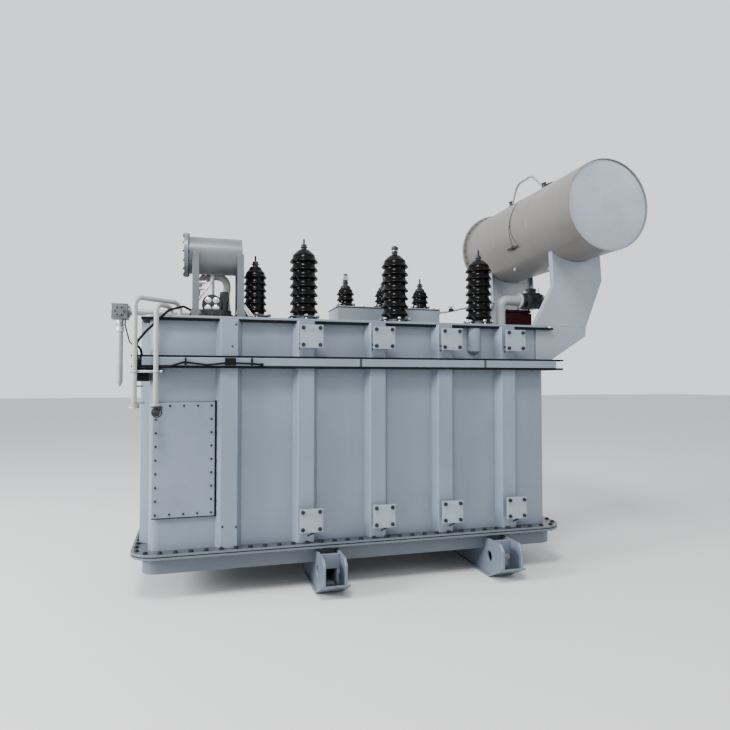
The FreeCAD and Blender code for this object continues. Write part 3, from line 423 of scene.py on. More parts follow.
# %% The bolt tree
def bolt_tree(along_path):
    """Bolts on points, or at an even pitch along a path; the attribute facing says which way each one looks."""
    tree = bpy.data.node_groups.new("bolts_on_path" if along_path else "bolts_on_points", "GeometryNodeTree")
    face = tree.interface
    face.new_socket("Geometry", in_out="INPUT", socket_type="NodeSocketGeometry")
    for key in ("Head Radius", "Head Height", "Washer Radius", "Washer Height", "Stud Radius", "Stud Height", "Pitch"):
        face.new_socket(key, in_out="INPUT", socket_type="NodeSocketFloat")
    face.new_socket("Seed", in_out="INPUT", socket_type="NodeSocketInt")
    face.new_socket("Material", in_out="INPUT", socket_type="NodeSocketMaterial")
    face.new_socket("Geometry", in_out="OUTPUT", socket_type="NodeSocketGeometry")
    given = tree.nodes.new("NodeGroupInput").outputs

    def add(kind, **settings):
        node = tree.nodes.new(kind)
        for key, value in settings.items():
            setattr(node, key, value)
        return node

    def total(first, second, operation="ADD"):
        node = add("ShaderNodeMath", operation=operation)
        for socket, value in zip(node.inputs, (first, second)):
            if isinstance(value, bpy.types.NodeSocket):
                tree.links.new(value, socket)
            else:
                socket.default_value = value
        return node.outputs[0]

    def disc(sides, radius, height, foot):
        """A short cylinder whose underside is at foot."""
        round_bar = add("GeometryNodeMeshCylinder")
        round_bar.inputs["Vertices"].default_value = sides
        tree.links.new(radius, round_bar.inputs["Radius"])
        tree.links.new(height, round_bar.inputs["Depth"])
        lift = add("ShaderNodeCombineXYZ")
        tree.links.new(total(total(height, 0.5, "MULTIPLY"), foot), lift.inputs["Z"])
        moved = add("GeometryNodeTransform")
        tree.links.new(round_bar.outputs["Mesh"], moved.inputs["Geometry"])
        tree.links.new(lift.outputs[0], moved.inputs["Translation"])
        return moved.outputs["Geometry"]

    joined = add("GeometryNodeJoinGeometry")
    head_top = total(given["Washer Height"], given["Head Height"])
    for part in (disc(10, given["Stud Radius"], given["Stud Height"], head_top),
                 disc(6, given["Head Radius"], given["Head Height"], given["Washer Height"]),
                 disc(16, given["Washer Radius"], given["Washer Height"], 0.0)):
        tree.links.new(part, joined.inputs[0])
    spots = given["Geometry"]
    if along_path:
        to_curve = add("GeometryNodeMeshToCurve")
        tree.links.new(spots, to_curve.inputs[0])
        divided = add("GeometryNodeResampleCurve", mode="LENGTH")
        tree.links.new(to_curve.outputs[0], divided.inputs["Curve"])
        tree.links.new(given["Pitch"], divided.inputs["Length"])
        spots = divided.outputs["Curve"]
    facing = add("GeometryNodeInputNamedAttribute", data_type="FLOAT_VECTOR")
    facing.inputs["Name"].default_value = "facing"
    aim = add("FunctionNodeAlignRotationToVector", axis="Z")
    tree.links.new(facing.outputs["Attribute"], aim.inputs["Vector"])
    chance = add("FunctionNodeRandomValue", data_type="FLOAT")
    tree.links.new(given["Seed"], chance.inputs["Seed"])
    chance.inputs[3].default_value = math.tau
    spin = add("FunctionNodeAxisAngleToRotation")
    spin.inputs["Axis"].default_value = (0, 0, 1)
    tree.links.new(chance.outputs[1], spin.inputs["Angle"])
    turned = add("FunctionNodeRotateRotation", rotation_space="LOCAL")
    tree.links.new(aim.outputs[0], turned.inputs["Rotation"])
    tree.links.new(spin.outputs[0], turned.inputs["Rotate By"])
    placed = add("GeometryNodeInstanceOnPoints")
    tree.links.new(spots, placed.inputs["Points"])
    tree.links.new(joined.outputs[0], placed.inputs["Instance"])
    tree.links.new(turned.outputs[0], placed.inputs["Rotation"])
    real = add("GeometryNodeRealizeInstances")
    tree.links.new(placed.outputs[0], real.inputs[0])
    dressed = add("GeometryNodeSetMaterial")
    tree.links.new(real.outputs[0], dressed.inputs["Geometry"])
    tree.links.new(given["Material"], dressed.inputs["Material"])
    tree.links.new(dressed.outputs[0], add("NodeGroupOutput").inputs[0])
    return tree


ON_POINTS = bolt_tree(False)
ON_PATH = bolt_tree(True)
FLANGE_NUT = {"Head Radius": 0.0172, "Head Height": 0.0100, "Washer Radius": 0.0200, "Washer Height": 0.003,
              "Stud Radius": 0.0100, "Stud Height": 0.003}
M16 = {"Head Radius": 0.0139, "Head Height": 0.013, "Washer Radius": 0.0155, "Washer Height": 0.003,
       "Stud Radius": 0.0080, "Stud Height": 0.009}
M12 = {"Head Radius": 0.0106, "Head Height": 0.0095, "Washer Radius": 0.0120, "Washer Height": 0.0025,
       "Stud Radius": 0.0060, "Stud Height": 0.006}
M8 = {"Head Radius": 0.0075, "Head Height": 0.0060, "Washer Radius": 0.0085, "Washer Height": 0.0016,
      "Stud Radius": 0.0040, "Stud Height": 0.003}


def bolts(name, spots, size, finish, pitch=0.0, seed=7):
    """spots are (point, facing). With a pitch they are the corners of a closed path instead."""
    mesh = bpy.data.meshes.new(name + "_spots")
    count = len(spots)
    edges = [(i, (i + 1) % count) for i in range(count)] if pitch else []
    mesh.from_pydata([Vector(point) for point, _ in spots], edges, [])
    facing = mesh.attributes.new("facing", "FLOAT_VECTOR", "POINT")
    facing.data.foreach_set("vector", [v for _, way in spots for v in Vector(way).normalized()])
    holder = bpy.data.objects.new(name + "_spots", mesh)
    bpy.context.scene.collection.objects.link(holder)
    tree = ON_PATH if pitch else ON_POINTS
    nodes = holder.modifiers.new("bolts", "NODES")
    nodes.node_group = tree
    for item in tree.interface.items_tree:
        if item.in_out != "INPUT" or item.name == "Geometry":
            continue
        value = {"Pitch": pitch, "Seed": seed, "Material": finish, **size}[item.name]
        nodes[item.identifier] = value
    graph = bpy.context.evaluated_depsgraph_get()
    result = bpy.data.meshes.new_from_object(holder.evaluated_get(graph))
    bpy.data.objects.remove(holder)
    thing = bpy.data.objects.new(name, result)
    bpy.context.scene.collection.objects.link(thing)
    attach(thing, "root")
    print(name, len(result.polygons), "faces")
    return thing


def ring_spots(centre, along, radius, count, start=0.0):
    """Even points on a circle about centre, all facing along."""
    frame_of = Vector(along).to_track_quat("Z", "Y").to_matrix()
    spots = []
    for i in range(count):
        angle = start + math.tau * i / count
        step = frame_of @ Vector((radius * math.cos(angle), radius * math.sin(angle), 0))
        spots.append((Vector(centre) + step, along))
    return spots


# %% [markdown]
# ## The bolted joint round the foot of the tank
# The bell flange and the tray flange are drawn together on a rubber gasket. The bolt circle is a rounded rectangle
# midway along the flange. Studs go right through, so there is one row of nuts above and one below.

# %% Nuts above and below the flange
def rounded_path(half_x, half_y, radius, level, way, steps=6):
    """Corners of a closed rounded rectangle, all facing one way."""
    spots = []
    for corner, (sx, sy) in enumerate(((1, 1), (-1, 1), (-1, -1), (1, -1))):
        for i in range(steps + 1):
            angle = math.pi / 2 * (corner + i / steps)
            spots.append(((sx * (half_x - radius) + radius * math.cos(angle),
                           sy * (half_y - radius) + radius * math.sin(angle), level), way))
    return spots


FLANGE_PITCH = 0.107
FLANGE_EDGE = 0.036
path_x = flange_high.x - FLANGE_EDGE
path_y = flange_high.y - FLANGE_EDGE
path_corner = 0.159
tray_flange_low = flange_low.z - 0.022
bolts("flange_nuts_top", rounded_path(path_x, path_y, path_corner, flange_high.z, (0, 0, 1)), FLANGE_NUT, dark_bolt,
      FLANGE_PITCH)
bolts("flange_nuts_under", rounded_path(path_x, path_y, path_corner, tray_flange_low, (0, 0, -1)), FLANGE_NUT,
      grey_bolt, FLANGE_PITCH)

# %% [markdown]
# ## Hatch on the front wall
# A flat steel plate closes a handhole in the wall. A black strip along its right edge and foot is painted shadow of the
# raised plate, with a thin dark line along its top. Small bolts run round its rim.

# %% Hatch shadow strip and bolts
hatch_low, hatch_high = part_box("hatch_panel")
SHADOW_RIGHT = 0.013
SHADOW_FOOT = 0.007
JOINT_TOP = 0.003
# Painted shadow: black blocks along the hatch's right edge and foot stand for the shadow the raised plate casts.
joint = Build()
joint.block((hatch_high.x, hatch_low.y + 0.004, hatch_low.z - SHADOW_FOOT),
            (hatch_high.x + SHADOW_RIGHT, TANK_FRONT, hatch_high.z + 0.014))
joint.block((hatch_low.x - JOINT_TOP, hatch_low.y + 0.006, hatch_low.z - SHADOW_FOOT),
            (hatch_high.x, TANK_FRONT, hatch_low.z))
joint.block((hatch_low.x, hatch_low.y + 0.012, hatch_high.z), (hatch_high.x, TANK_FRONT, hatch_high.z + JOINT_TOP))
joint.piece("hatch_shadow_strip", black_rubber_and_shade, "gasket_rubber")
RIM = 0.024
columns = [hatch_low.x + RIM + (hatch_high.x - hatch_low.x - 2 * RIM) * i / 4 for i in range(5)]
rows = [hatch_low.z + RIM + (hatch_high.z - hatch_low.z - 2 * RIM) * i / 8 for i in range(9)]
rim_spots = [((x, hatch_low.y, z), (0, -1, 0)) for x in columns for z in (rows[0], rows[-1])]
rim_spots += [((x, hatch_low.y, z), (0, -1, 0)) for z in rows[1:-1] for x in (columns[0], columns[-1])]
bolts("hatch_bolts", rim_spots, M8, dark_bolt, seed=3)

# %% [markdown]
# ## Blanked radiator connections
# The radiators travel separately, so each connection is closed by a square plate with four bolts, and a butterfly
# valve stays behind it with its small lever. The record's mounts give the axes on the front; the back repeats them.

# %% Blank bolts, flange behind each blank and valve levers
REAR = Vector((1, -1, 1))
fronts = [p for name, p in sorted(mounts.items()) if name.startswith("radiator_")]
blank_spots = []
seats = Build()
levers = Build()
HOLE = 0.065
for middle in fronts + [p * REAR for p in fronts]:
    out = Vector((0, -1 if middle.y < 0 else 1, 0))
    for dx in (-HOLE, HOLE):
        for dz in (-HOLE, HOLE):
            blank_spots.append((middle + Vector((dx, 0, dz)), out))
    seats.drum(middle - out * 0.036, out, 0.078, 0.016, edge=0.002)
    seats.drum(middle - out * 0.058, out, 0.060, 0.022, edge=0.003)
    is_high = middle.z > 1.0
    side = -0.082 if is_high else 0.0
    drop = -0.055 if is_high else -0.085
    root = middle - out * 0.047 + Vector((side, 0, drop))
    levers.drum(root - Vector((0.0, 0, 0)), out, 0.011, 0.034, 16, 0.002)
    levers.block(root + out * 0.020 + Vector((-0.006, -0.003, -0.050)),
                 root + out * 0.020 + Vector((0.006, 0.003, 0.008)), Matrix.Rotation(0.5 if is_high else 1.2, 4, "Y"))
bolts("blank_bolts", blank_spots, M16, dark_bolt, seed=5)
seats.piece("valve_bodies", tank_paint, "tank_grey")
levers.piece("valve_levers", dark_cast, "changer_dark", bevel=0.001)

# %% [markdown]
# ## Bushings
# A bushing is one glazed porcelain body: a straight core with sheds that slope down to a thin rounded lip.
# The CAD gives the core and the reach of the sheds as flat cones. Here each one is turned again from a profile that
# repeats one shed, with the hollow under the lip that stops rain from running back along the core.

# %% Porcelain turned from a repeating shed profile
def shed_profile(count, core, reach, pitch, neck, shoulder):
    """Radius and height of a bushing, from its foot to the shoulder under the cap."""
    one = [(0.0, 0.16), (0.30, 0.13), (0.72, 0.06), (0.93, 0.02), (1.0, 0.05), (1.0, 0.10), (0.90, 0.17),
           (0.62, 0.30), (0.30, 0.47), (0.10, 0.64), (0.0, 0.80)]
    profile = [(0.0, 0.0), (core * 0.98, 0.0), (core, 0.004), (core, neck)]
    for i in range(count):
        low = neck + i * pitch
        profile += [(core + (reach - core) * across, low + pitch * up) for across, up in one]
    top = neck + count * pitch
    profile += [(core * 0.99, top - pitch * 0.1), (core * 0.90, top), (core * 0.72, top + shoulder * 0.45),
                (0.045, top + shoulder * 0.92), (0.0, top + shoulder)]
    return profile


def clamp_ring(build, studs, at, radius, height, lugs):
    """A pressed clamp ring with lugs, and the bright studs that pull it down on the cover."""
    build.turned([(radius * 0.82, 0), (radius + 0.020, 0), (radius + 0.020, 0.010), (radius + 0.004, 0.014),
                  (radius + 0.002, height * 0.62), (radius - 0.006, height * 0.80), (radius * 0.82, height * 0.82)], at)
    for i in range(lugs):
        angle = math.tau * (i + 0.5) / lugs
        out = Vector((math.cos(angle), math.sin(angle), 0))
        foot = Vector(at) + out * (radius + 0.022)
        studs.drum(foot, (0, 0, 1), 0.008, height * 1.02, 12, 0.001)
        studs.turned([(0, 0), (0.0145, 0), (0.0145, 0.012), (0, 0.012)], foot + Vector((0, 0, height * 0.80)), sides=6)
        studs.turned([(0, 0), (0.0145, 0), (0.0145, 0.012), (0, 0.012)], foot + Vector((0, 0, 0.004)), sides=6)
        turn = Matrix.Rotation(angle, 4, "Z")
        middle = Vector(at) + out * (radius + 0.006) + Vector((0, 0, height * 0.73))
        build.block(middle - Vector((0.026, 0.013, 0.007)), middle + Vector((0.026, 0.013, 0.007)), turn)


FOOT_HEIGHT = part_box("bushing_feet")[1].z - COVER_TOP
turret_low, turret_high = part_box("turret_box")
hv_rods = [mounts["hv_rod_%d" % i] for i in (1, 2, 3)]
lv_rods = [mounts["lv_rod_%d" % i] for i in (1, 2, 3)]
neutral_rod = mounts["neutral_rod"]
for i, rod in enumerate(hv_rods):
    at = (rod.x, rod.y, COVER_TOP + FOOT_HEIGHT)
    Build().turned(shed_profile(7, 0.093, 0.118, 0.070, 0.022, 0.040), at, sides=64).piece(
        "hv_porcelain_%d" % (i + 1), porcelain_glaze, "glazed_black", stands_for=["hv_bushing_%d" % (i + 1)])
at = (neutral_rod.x, neutral_rod.y, COVER_TOP + FOOT_HEIGHT)
Build().turned(shed_profile(6, 0.075, 0.092, 0.054, 0.022, 0.040), at, sides=64).piece(
    "neutral_porcelain", porcelain_glaze, "glazed_black", stands_for=["neutral_bushing"])
small = Build()
for rod in lv_rods:
    small.turned(shed_profile(3, 0.064, 0.082, 0.052, 0.022, 0.030), (rod.x, rod.y, turret_high.z), sides=56)
small.piece("lv_porcelain", porcelain_glaze, "glazed_black", stands_for=["lv_bushings"])

# %% Clamp rings on the cover and the turret
feet = Build()
studs = Build()
for rod in hv_rods + [neutral_rod]:
    clamp_ring(feet, studs, (rod.x, rod.y, COVER_TOP), 0.102, FOOT_HEIGHT, 6)
for rod in lv_rods:
    clamp_ring(feet, studs, (rod.x, rod.y, turret_high.z), 0.066, 0.040, 4)
feet.piece("bushing_clamps", dark_cast, "fitting_metal", stands_for=["bushing_feet"])
studs.piece("bushing_studs", zinc, "fitting_metal")

# %% [markdown]
# ## Terminals
# The conductor comes out of the porcelain as a threaded stud under a sealing cap, with nuts for a cable lug.
# The thread is turned as fine ridges, which costs few faces and catches the light as a real thread does.
# The middle high-voltage bushing carries a round cap nut, and the first low-voltage one a tall pair of clamps.

# %% Caps, nuts and threaded studs
def threaded(build, at, radius, length, pitch=0.0035):
    profile = [(0, 0)]
    for i in range(int(length / pitch)):
        profile += [(radius * 0.86, i * pitch), (radius, (i + 0.5) * pitch)]
    profile += [(radius * 0.6, length), (0, length)]
    build.turned(profile, at, sides=16)


def sealing_cap(build, at, size=1.0):
    build.turned([(0, -0.006), (0.047 * size, -0.006), (0.047 * size, 0.004), (0.040 * size, 0.012),
                  (0.026 * size, 0.024), (0.022 * size, 0.034), (0, 0.034)], at, sides=32)
    build.turned([(0, 0), (0.030 * size, 0), (0.030 * size, 0.007), (0, 0.007)], Vector(at) + Vector((0, 0, 0.040)),
                 sides=24)
    build.turned([(0, 0), (0.0215 * size, 0), (0.0235 * size, 0.003), (0.0235 * size, 0.017), (0.0215 * size, 0.020),
                  (0, 0.020)], Vector(at) + Vector((0, 0, 0.048)), sides=6)


ROD_HALF = 0.035
terminals = Build()
bright = Build()
for i, rod in enumerate(hv_rods + [neutral_rod] + lv_rods):
    foot = rod - Vector((0, 0, ROD_HALF + 0.045))
    sealing_cap(terminals, foot)
    if i == 1:
        terminals.turned([(0, 0), (0.026, 0), (0.031, 0.010), (0.029, 0.026), (0.017, 0.037), (0, 0.040)],
                         foot + Vector((0, 0, 0.066)), sides=32)
        bright.turned([(0, 0), (0.027, 0), (0.027, 0.006), (0, 0.006)], foot + Vector((0, 0, 0.058)), sides=32)
        continue
    threaded(terminals, foot + Vector((0, 0, 0.034)), 0.0085, 0.045 + 2 * ROD_HALF - 0.034)
    if i == 4:
        for level in (0.070, 0.094):
            bright.block(foot + Vector((-0.026, -0.011, level)), foot + Vector((0.026, 0.011, level + 0.018)))
            for dx in (-0.017, 0.017):
                bright.drum(foot + Vector((dx, -0.018, level + 0.009)), (0, 1, 0), 0.0055, 0.036, 12)
        terminals.turned([(0, 0), (0.020, 0), (0.020, 0.014), (0, 0.014)], foot + Vector((0, 0, 0.113)), sides=6)
terminals.piece("terminals", dark_cast, "fitting_metal", stands_for=["bushing_terminals"])
bright.piece("terminal_clamps", zinc, "fitting_metal", bevel=0.0015)

# %% [markdown]
# ## Painted shade under the cover and along the belt
# Black strips are painted shade: one under the cover's overhanging edge and one under the belt, where each throws its
# shadow. A thin one stands along the belt's top edge as a dark line. From eye height none is more than a line,
# but the lines draw the whole upper part of the tank.
# Four long bars make each ring and meet square, so they pass the cover's rounded corners and cross the belt's
# open ones. A profile swept round the corners would follow them more closely.

# %% Strips of painted shade
def ring_of_bars(build, reach, inner, low, high):
    """Four bars round the tank, from inner to reach beyond its walls."""
    x, y = END_X, -TANK_FRONT
    build.block((-x - reach, -y - reach, low), (x + reach, -y - inner, high))
    build.block((-x - reach, y + inner, low), (x + reach, y + reach, high))
    build.block((-x - reach, -y - inner, low), (-x - inner, y + inner, high))
    build.block((x + inner, -y - inner, low), (x + reach, y + inner, high))


strips = Build()
BELT_REACH = belt_high.x - END_X
COVER_REACH = cover_high.x - END_X
# Painted shade: a black strip under the cover's edge stands for the shadow the edge casts on the wall.
ring_of_bars(strips, COVER_REACH - 0.006, 0.002, cover_low.z - 0.017, cover_low.z)
ring_of_bars(strips, BELT_REACH - 0.002, BELT_REACH - 0.012, belt_high.z - 0.0005, belt_high.z + 0.014)
# Painted shade: a black strip under the belt stands for the belt's shadow on the wall below.
ring_of_bars(strips, BELT_REACH - 0.004, 0.002, belt_low.z - 0.017, belt_low.z)
strips.piece("shade_and_joint_strips", black_rubber_and_shade, "gasket_rubber")

# %% [markdown]
# ## Small things on the front wall
# A half-round well on the upper wall houses a thermometer pocket. It is half a tube with a slanted foot.
# Tapped holes in the first stiffener take an earthing lead, and black clips hold the belt cable.

# %% Well, tapped holes, clips and gland
WELL_X = 0.955
WELL_RADIUS = 0.062
WELL_FOOT = 1.818
well = Build()
HALF_TURN = [math.pi * i / 20 for i in range(21)]
half_round = [(WELL_X + WELL_RADIUS * math.cos(a), TANK_FRONT - 0.8 * WELL_RADIUS * math.sin(a)) for a in HALF_TURN]
well.prism(half_round, WELL_FOOT + 0.032, cover_low.z - 0.010)
well.turned([(0, 0), (0.022, 0), (WELL_RADIUS, 0.03), (WELL_RADIUS, 0.034)],
            (WELL_X, TANK_FRONT + 0.014, WELL_FOOT), sides=40)
well.piece("thermometer_well", tank_paint, "tank_grey")
HAT_FACE = TANK_FRONT - 0.075
holes = Build()
for x, z in ((-1.048, 1.856), (-1.020, 2.020), (-1.014, 0.518), (-1.112, 0.525)):
    holes.turned([(0.004, 0.002), (0.0085, 0.002), (0.0085, 0), (0, 0)], (x, HAT_FACE + 0.001, z), (0, -1, 0), 16)
holes.piece("tapped_holes", dark_cast, "fitting_metal")
clips = Build()
for x, width in ((-1.064, 0.078), (-0.908, 0.014), (-1.380, 0.012)):
    clips.block((x - width / 2, belt_low.y - 0.017, belt_low.z + 0.002),
                (x + width / 2, belt_low.y, belt_high.z - 0.003))
clips.drum((-0.852, belt_low.y - 0.007, belt_low.z + 0.010), (1, 0, 0), 0.010, 0.030, 16, 0.002)
clips.piece("cable_clips", black_rubber_and_shade, "cable_black", bevel=0.002)

# %% [markdown]
# ## Turret lid and gas pipe
# The low-voltage turret is a plain box, closed by a lid a little larger than it, screwed down on a thin joint.
# A slim pipe with a cock leads the gas from the turret to the riser of the conservator.

# %% Turret lid, joint, screws and pipe
LID_OUT = 0.005


def turret_outline(out):
    left, right = turret_low.x - out, turret_high.x + out
    near, far = turret_low.y - out, turret_high.y + out
    return [(left, near), (right, near), (right, far), (left, far)]


lid = Build().prism(turret_outline(LID_OUT), turret_high.z - 0.008, turret_high.z + 0.001)
lid.piece("turret_lid", turret_paint, "tank_grey", bevel=0.002)
Build().prism(turret_outline(LID_OUT * 0.6), turret_high.z - 0.013, turret_high.z - 0.008).piece(
    "turret_joint", black_rubber_and_shade, "gasket_rubber")
screws = []
for i in range(10):
    x = turret_low.x + 0.05 + i * (turret_high.x - turret_low.x - 0.10) / 9
    screws += [((x, turret_low.y + 0.012, turret_high.z + 0.001), (0, 0, 1)),
               ((x, turret_high.y - 0.012, turret_high.z + 0.001), (0, 0, 1))]
bolts("turret_screws", screws, M8, grey_bolt, seed=11)
RISER = Vector((1.372, -0.275, COVER_TOP))
pipe_start = Vector((turret_high.x - 0.002, -0.005, turret_high.z - 0.030))
pipe_end = Vector((RISER.x - 0.03, RISER.y + 0.02, turret_high.z + 0.052))
gas = Build()
gas.bar([pipe_start, pipe_start + Vector((0.05, 0, 0)), pipe_end.lerp(pipe_start, 0.4), pipe_end], 0.009)
gas.drum(pipe_start, (1, 0, 0), 0.018, 0.012, 20, 0.002)
gas.piece("gas_pipe", pipe_paint, "pipe_grey")
cock = Build()
middle = pipe_start.lerp(pipe_end, 0.22) + Vector((0, 0, 0.004))
cock.block(middle - Vector((0.020, 0.013, 0.013)), middle + Vector((0.020, 0.013, 0.013)))
cock.drum(middle, (0, 0, 1), 0.007, 0.030, 12, 0.001)
cock.block(middle + Vector((-0.030, -0.005, 0.026)), middle + Vector((0.030, 0.005, 0.032)))
cock.piece("gas_cock", dark_cast, "changer_dark", bevel=0.003)

# %% [markdown]
# ## Conservator
# The oil conservator is rolled from sheet, so two welds go round it where the sheets meet. The far end is a bolted
# lid. On the flank hangs the float gauge's lever with its two cords, and a hose joins two necks on top.

# %% Seams, lid bolts, hose necks and gauge
drum_low, drum_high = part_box("conservator_shell")
far_low, far_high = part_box("conservator_far_end")
AXIS_X = (drum_low.x + drum_high.x) / 2
AXIS_Z = (drum_low.z + drum_high.z) / 2
DRUM = (drum_high.x - drum_low.x) / 2


def on_drum(degrees, y, out=0.0):
    """A point on the drum's skin, by angle from +X towards up."""
    angle = math.radians(degrees)
    return Vector((AXIS_X + (DRUM + out) * math.cos(angle), y, AXIS_Z + (DRUM + out) * math.sin(angle)))


def outward(degrees):
    return Vector((math.cos(math.radians(degrees)), 0, math.sin(math.radians(degrees))))


seams = Build()
for share in (0.34, 0.67):
    y = drum_low.y + share * (drum_high.y - drum_low.y)
    seams.turned([(DRUM - 0.002, -0.006), (DRUM + 0.0012, -0.003), (DRUM + 0.0018, 0), (DRUM + 0.0012, 0.003),
                  (DRUM - 0.002, 0.006)], (AXIS_X, y, AXIS_Z), (0, 1, 0), 128, ring=True)
seams.piece("drum_seams", drum_paint, "drum_grey")
lid_spots = ring_spots((AXIS_X, far_high.y, AXIS_Z), (0, 1, 0), DRUM + 0.016, 36)
lid_spots += ring_spots((AXIS_X, far_low.y, AXIS_Z), (0, -1, 0), DRUM + 0.016, 36)
bolts("drum_lid_bolts", lid_spots, {**M8, "Stud Height": 0.002}, grey_bolt, seed=2)
HOSE_ANGLE = 109.6
necks = Build()
for y in (0.290, -0.318):
    foot = on_drum(HOSE_ANGLE, y, -0.006)
    necks.turned([(0.034, 0), (0.034, 0.012), (0.022, 0.014), (0.019, 0.040), (0.024, 0.042), (0.024, 0.052),
                  (0.0, 0.052)], foot, outward(HOSE_ANGLE), 28)
necks.block(on_drum(108, -0.385) - Vector((0.03, 0.02, 0.006)), on_drum(108, -0.385) + Vector((0.03, 0.02, 0.020)),
            Matrix.Rotation(math.radians(-18), 4, "Y"))
necks.piece("hose_necks", dark_cast, "changer_dark", bevel=0.001)
gauge = Build()
lever_middle = on_drum(207, -0.125, 0.022)
gauge.block(lever_middle - Vector((0.007, 0.085, 0.006)), lever_middle + Vector((0.007, 0.085, 0.006)))
gauge.drum(on_drum(207, -0.115, -0.004), outward(207), 0.017, 0.040, 20, 0.003)
gauge.block(lever_middle + Vector((-0.010, 0.012, -0.011)), lever_middle + Vector((0.010, 0.088, 0.011)))
gauge.piece("gauge_lever", dark_cast, "changer_dark", bevel=0.002)
cords = Build()
cords.bar([on_drum(a, -0.095 - (a - 150) * 0.0002, 0.004) for a in range(147, 208, 6)], 0.0022, 8)
cords.bar([on_drum(a, y, 0.004) for a, y in ((118, 0.02), (130, -0.03), (142, -0.070), (155, -0.095), (170, -0.115),
                                             (182, -0.120), (192, -0.145), (200, -0.175), (206, -0.198))], 0.0022, 8)
cords.drum(on_drum(176, -0.118, -0.001), outward(176), 0.006, 0.010, 12, 0.001)
cords.piece("gauge_lines", dark_cast, "changer_dark")
Build().turned([(0, 0), (0.018, 0), (0.018, 0.008), (0.010, 0.010), (0.010, 0.020), (0, 0.020)],
               on_drum(240, 0.120, -0.001), outward(240), 20).piece("drum_plug", light_metal, "fitting_metal")

# %% [markdown]
# ## Gas relay and its pipe flanges
# The relay is a small iron casting between two flanges, with a sight window on its side, and test cocks and a
# terminal box on top. Below it a low red-brown housing with a screwed lid stands on the cover.
# Both are plain blocks in the CAD and are swapped for the castings.

# %% Relay, relief housing and flanges
relay_low, relay_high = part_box("gas_relay")
RELAY = (relay_low + relay_high) / 2
relay = Build()
for x, way in ((relay_low.x, 1), (relay_high.x, -1)):
    relay.drum((x, RELAY.y, RELAY.z), (way, 0, 0), 0.072, 0.018, 36, 0.002)
relay.drum((relay_low.x + 0.01, RELAY.y, RELAY.z), (1, 0, 0), 0.052, relay_high.x - relay_low.x - 0.02, 28)
relay.block(RELAY - Vector((0.052, 0.060, 0.072)), RELAY + Vector((0.062, 0.060, 0.062)))
relay.block(RELAY + Vector((-0.060, -0.065, 0.058)), RELAY + Vector((0.070, 0.065, 0.072)))
relay.block(RELAY + Vector((-0.030, -0.030, 0.072)), RELAY + Vector((0.045, 0.040, 0.118)))
relay.piece("relay_casting", dark_cast, "changer_dark", bevel=0.005, stands_for=["gas_relay"])
trim = Build()
trim.drum(RELAY + Vector((0.055, -0.040, 0.070)), (0, 0, 1), 0.009, 0.062, 16, 0.002)
trim.drum(RELAY + Vector((0.040, -0.040, 0.100)), (1, 0, 0), 0.006, 0.030, 12, 0.001)
trim.drum(RELAY + Vector((-0.070, -0.020, 0.078)), (0, -1, 0), 0.012, 0.020, 16, 0.002)
trim.piece("relay_cocks", light_metal, "fitting_metal")
Build().block(RELAY + Vector((-0.026, -0.064, -0.030)), RELAY + Vector((0.036, -0.058, 0.030))).piece(
    "relay_window", box_plastic, "box_black", bevel=0.002)
relief_low, relief_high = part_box("relief_housing")
housing = Build()
housing.block(relief_low, Vector((relief_high.x, relief_high.y, relief_high.z - 0.030)))
housing.block(Vector((relief_low.x + 0.004, relief_low.y + 0.004, relief_high.z - 0.026)),
              Vector((relief_high.x - 0.004, relief_high.y - 0.004, relief_high.z)))
housing.piece("relief_casting", relay_cast, "relay_red", bevel=0.007, stands_for=["relief_housing"])
relief_spots = [((x, y, relief_high.z), (0, 0, 1)) for x in (relief_low.x + 0.022, (relief_low.x + relief_high.x) / 2,
                relief_high.x - 0.022) for y in (relief_low.y + 0.020, relief_high.y - 0.020)]
bolts("relief_bolts", relief_spots, M8, dark_bolt, seed=10)
plug = Build()
plug.drum((relief_low.x + 0.118, relief_low.y + 0.004, COVER_TOP + 0.020), (0, -1, 0), 0.018, 0.026, 20, 0.003)
plug.piece("relief_plug", light_metal, "fitting_metal")
flanges = Build()
for x, way in ((relay_low.x, -1), (relay_high.x, 1)):
    flanges.drum((x, RELAY.y, RELAY.z), (way, 0, 0), 0.072, 0.016, 36, 0.002)
flanges.drum(RISER, (0, 0, 1), 0.080, 0.016, 40, 0.003)
flanges.drum((AXIS_X, RISER.y, AXIS_Z - DRUM - 0.030), (0, 0, 1), 0.070, 0.040, 40, 0.003)
flanges.piece("relay_pipe_flanges", pipe_paint, "pipe_grey")
relay_spots = []
for x, way in ((relay_low.x - 0.016, -1), (relay_high.x + 0.016, 1)):
    relay_spots += ring_spots((x, RELAY.y, RELAY.z), (way, 0, 0), 0.060, 6, 0.3)
relay_spots += ring_spots(RISER + Vector((0, 0, 0.016)), (0, 0, 1), 0.065, 6)
bolts("relay_bolts", relay_spots, M8, zinc, seed=9)
post = Build()
POST = Vector((1.262, -0.245, COVER_TOP))
post.drum(POST, (0, 0, 1), 0.030, 0.012, 24, 0.002)
post.drum(POST, (0, 0, 1), 0.019, 0.225, 24, 0.002)
post.piece("thermometer_post", dark_cast, "changer_dark")
Build().turned([(0, 0), (0.028, 0), (0.030, 0.004), (0.030, 0.016), (0.020, 0.026), (0, 0.028)],
               POST + Vector((0, 0, 0.225))).piece("thermometer_cap", light_metal, "fitting_metal")

# %% [markdown]
# ## Tap changer head and its small conservator
# The switch hangs in the tank from a round head on the cover. A pressure-relief disc with four bright lobes faces
# the front, a bent suction pipe comes out behind, and a ring of bolts holds the rim.
# The pot above carries a bolted end flange, and stands on four strap legs with gussets at their feet.

